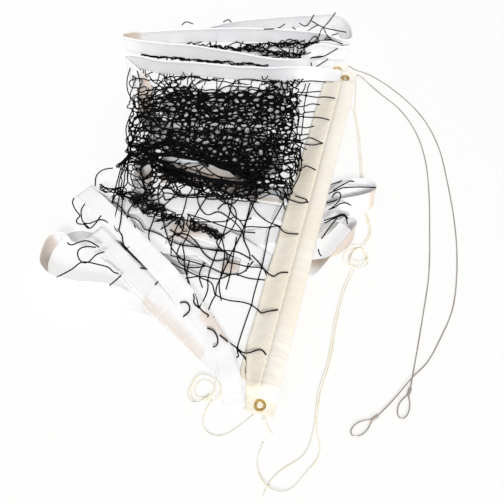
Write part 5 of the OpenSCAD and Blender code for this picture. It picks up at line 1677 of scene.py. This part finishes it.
# Loose strands over the heap and beside it: places x, y, z in mm
LOOSE_TWINE = [
    [[187, 221, 46], [230, 231, 40], [251, 246, 34], [274, 242, 34]],
    [[187, 138, 46], [212, 150, 42], [229, 154, 34], [252, 161, 34]],
    [[198, 92, 46], [222, 90, 40], [244, 90, 36], [272, 99, 34]],
    [[200, 81, 46], [227, 75, 34]],
    [[196, 57, 46], [215, 37, 34]],
    [[214, 322, 46], [257, 340, 34], [298, 335, 34]],
    [[195, 207, 48], [188, 177, 48], [189, 140, 48], [180, 108, 48]],
    [[188, -81, 40], [204, -83, 34], [218, -89, 34], [220, -98, 34]],
    [[-281, 388, 40], [-282, 332, 44], [-273, 283, 44], [-252, 239, 40], [-256, 189, 44], [-261, 144, 44],
     [-250, 95, 42], [-239, 59, 36], [-264, 38, 20]],
    [[-265, 397, 40], [-242, 313, 46], [-241, 251, 44], [-222, 181, 44], [-231, 115, 44], [-216, 69, 40]],
    [[-329, -24, 6], [-330, 13, 6], [-316, 30, 6], [-291, 36, 6]],
    [[-367, -79, 29], [-369, -89, 29], [-364, -103, 29], [-351, -123, 29], [-342, -133, 29], [-349, -144, 29],
     [-348, -152, 29], [-340, -158, 29], [-329, -158, 29], [-314, -171, 29], [-303, -160, 29], [-291, -133, 29]],
    [[-337, -99, 30], [-342, -115, 30], [-339, -133, 30], [-334, -148, 30], [-321, -163, 31], [-312, -171, 31]],
    [[-329, -156, 31], [-316, -157, 30], [-304, -151, 30], [-289, -145, 29], [-275, -150, 28], [-260, -169, 24]],
    [[-350, -223, 50], [-341, -230, 50], [-321, -221, 50], [-306, -217, 48], [-276, -232, 44]],
    [[-262, -244, 44], [-279, -253, 46], [-294, -274, 48], [-306, -275, 48], [-319, -260, 50], [-320, -242, 50],
     [-303, -234, 50], [-282, -235, 48]],
    [[-357, -314, 50], [-327, -292, 48], [-309, -273, 46], [-297, -272, 44], [-272, -277, 42], [-247, -284, 40],
     [-233, -296, 38], [-224, -297, 36]],
    [[-217, -302, 36], [-240, -329, 38]],
    [[284, -70, 48], [308, -53, 48], [330, -41, 48], [339, -41, 46]],
    [[280, -86, 40], [288, -74, 42], [298, -72, 44], [302, -82, 44], [296, -98, 42], [285, -110, 40], [270, -122, 38]],
    [[270, -122, 40], [285, -116, 40], [297, -107, 42], [312, -104, 42], [326, -110, 40]],
    [[256, -166, 46], [277, -155, 48], [304, -148, 50], [309, -170, 50]],
    [[254, -158, 44], [280, -150, 48], [302, -143, 50], [312, -156, 50]],
    [[285, -153, 46], [266, -178, 44], [246, -205, 38]],
    [[238, -229, 30], [240, -243, 30], [244, -248, 30]],
    [[-219, -18, 30], [-200, -44, 30], [-181, -65, 30], [-164, -72, 30], [-149, -59, 30], [-137, -30, 30],
     [-131, 6, 30]],
    [[-131, 6, 30], [-124, -30, 30], [-111, -63, 30], [-94, -79, 30], [-78, -67, 30], [-69, -39, 30], [-65, -6, 30]],
    [[-158, -68, 28], [-148, -108, 28], [-137, -146, 26], [-124, -189, 24], [-108, -225, 22], [-80, -255, 20]],
    [[-83, -74, 28], [-87, -108, 28], [-96, -146, 26], [-107, -178, 24], [-112, -209, 22], [-111, -237, 20]],
    [[-48, -27, 28], [-56, -68, 28], [-51, -102, 28], [-29, -130, 28], [-2, -121, 28], [16, -132, 28], [42, -154, 26],
     [58, -178, 24], [62, -204, 22]],
    [[-4, -113, 27], [11, -96, 27], [34, -105, 27], [42, -141, 26], [28, -175, 26], [9, -189, 24], [-4, -204, 24],
     [10, -227, 22], [37, -245, 20]],
    [[-75, -128, 27], [-29, -145, 26], [8, -161, 26], [44, -174, 24], [89, -180, 24]],
    [[-113, -238, 16], [-77, -250, 16], [-24, -268, 16], [20, -286, 12], [59, -282, 12], [84, -253, 14]],
    [[-75, -294, 6], [-36, -289, 6], [3, -296, 6], [37, -284, 6], [73, -294, 6], [114, -299, 6]],
    [[-68, -249, 10], [-72, -283, 6], [-65, -314, 6]],
    [[-32, -254, 10], [-43, -285, 6], [-34, -318, 6]],
    [[-121, -197, 22], [-100, -181, 22], [-72, -187, 22], [-49, -210, 20], [-30, -238, 18], [-7, -253, 16],
     [23, -248, 16]],
    [[-89, -207, 22], [-97, -238, 20], [-85, -263, 16], [-57, -270, 14], [-28, -266, 14]],
    [[-119, -171, 24], [-81, -197, 24], [-44, -220, 22], [1, -226, 20], [45, -230, 18], [80, -248, 14]],
    [[8, -193, 24], [16, -235, 18], [11, -275, 10], [5, -313, 8], [11, -351, 6]],
    [[44, -193, 24], [36, -245, 16], [30, -284, 8], [21, -323, 6]],
    [[80, -236, 14], [102, -261, 10], [115, -285, 6], [118, -309, 6]],
    [[66, -153, 24], [62, -196, 22], [76, -237, 14], [67, -277, 8]],
    [[-34, -31, 30], [-13, -70, 30], [19, -74, 30], [54, -61, 30], [75, -84, 28], [89, -117, 26], [116, -145, 24],
     [152, -161, 22]],
    [[19, -74, 28], [27, -117, 28], [53, -145, 26], [80, -139, 26]],
    [[80, -84, 27], [71, -128, 26], [62, -161, 25]],
    [[230, 580, 52], [249, 567, 52], [266, 593, 52], [278, 622, 52]],
    [[265, 590, 56], [303, 555, 56], [342, 540, 56], [373, 531, 56]],
    [[347, 629, 56], [320, 579, 56], [298, 548, 56], [282, 502, 56], [259, 476, 56]],
    [[357, 477, 50], [323, 449, 50], [295, 428, 50], [256, 420, 50]],
    [[303, 552, 56], [312, 517, 56], [326, 494, 56], [356, 476, 56]],
    [[-9, 581, 56], [8, 593, 56], [15, 581, 56]],
    [[184, 571, 56], [163, 552, 56], [118, 546, 56]],
    [[-221, -228, 24], [-199, -214, 24], [-176, -250, 24]],
    [[-180, -275, 22], [-156, -281, 22], [-131, -301, 22], [-141, -319, 22]],
    [[-80, -365, 24], [-67, -363, 24], [-57, -382, 24], [-71, -399, 24]],
    [[-17, -423, 20], [-2, -430, 20], [6, -462, 20], [-3, -466, 20]],
    [[11, -438, 16], [29, -453, 16]],
    [[51, -470, 12], [70, -496, 12], [68, -520, 12]],
    [[-137, 561, 60], [-125, 576, 60], [-103, 566, 60]],
    [[-118, 342, 64], [-111, 326, 64], [-96, 322, 64], [-92, 338, 64]],
    [[110, 326, 64], [115, 309, 64], [127, 326, 64]],
]

# Bunches of twine beside the heap: axis, half width at its ends, strands, lowest and highest place, curl, in mm
TANGLES = [
    ([[-304, -49], [-246, -67], [-186, -101], [-137, -134], [-90, -161]], (16, 26), 10, 29, 38, 34),
    ([[-73, -149], [-27, -176], [9, -191]], (15, 10), 9, 24, 32, 30),
    ([[-262, -160], [-243, -178], [-215, -207], [-179, -252]], (5, 4), 11, 12, 24, 26),
    ([[-104, 490], [-35, 487], [40, 478], [110, 468], [190, 455], [250, 452]], (2, 15), 12, 30, 46, 90),
    ([[60, 488], [143, 496], [223, 500], [290, 505], [345, 500]], (4, 22), 9, 30, 46, 90),
    ([[-247, 437], [-165, 428], [-65, 414], [45, 403], [130, 392]], (1, 2), 5, 40, 49, 60),
    ([[-176, 34], [-146, 12], [-91, -26], [-44, -48]], (7, 6), 22, 24, 34, 40),
    ([[-264, 7], [-224, 52], [-184, 78], [-130, 84], [-70, 62], [-6, 20], [40, -12], [88, -50]],
      (6, 12), 8, 42, 49, 130),
]


# ---------------------------------------------------------------- panel and main

MAKERS = ("camera", "tie_cords", "cables", "head_tape", "bottom_tape", "netting", "side_bands", "patches",
          "grommets", "rods", "stage")


class NET_PT_panel(bpy.types.Panel):
    """Sizes, colours and makers of the net, in the sidebar of the 3D view."""

    bl_label = "Volleyball net"
    bl_idname = "NET_PT_panel"
    bl_space_type = "VIEW_3D"
    bl_region_type = "UI"
    bl_category = "Net"

    def draw(self, context):
        for group in (context.scene.net_sizes, context.scene.net_colours):
            box = self.layout.box()
            for name in group.__annotations__:
                box.prop(group, name)
        for name in MAKERS:
            self.layout.operator("net." + name)


CLASSES = (NetSizes, NetColours, NET_OT_camera, NET_OT_stage, NET_OT_tie_cords, NET_OT_cables, NET_OT_head_tape,
           NET_OT_bottom_tape, NET_OT_netting, NET_OT_side_bands, NET_OT_patches, NET_OT_grommets, NET_OT_rods,
           NET_PT_panel)


def register():
    for cls in CLASSES:
        bpy.utils.register_class(cls)
    bpy.types.Scene.net_sizes = bpy.props.PointerProperty(type=NetSizes)
    bpy.types.Scene.net_colours = bpy.props.PointerProperty(type=NetColours)


def unregister():
    del bpy.types.Scene.net_sizes, bpy.types.Scene.net_colours
    for cls in reversed(CLASSES):
        bpy.utils.unregister_class(cls)


def main():
    register()
    for name in MAKERS:
        getattr(bpy.ops.net, name)()


if __name__ == "__main__":
    main()
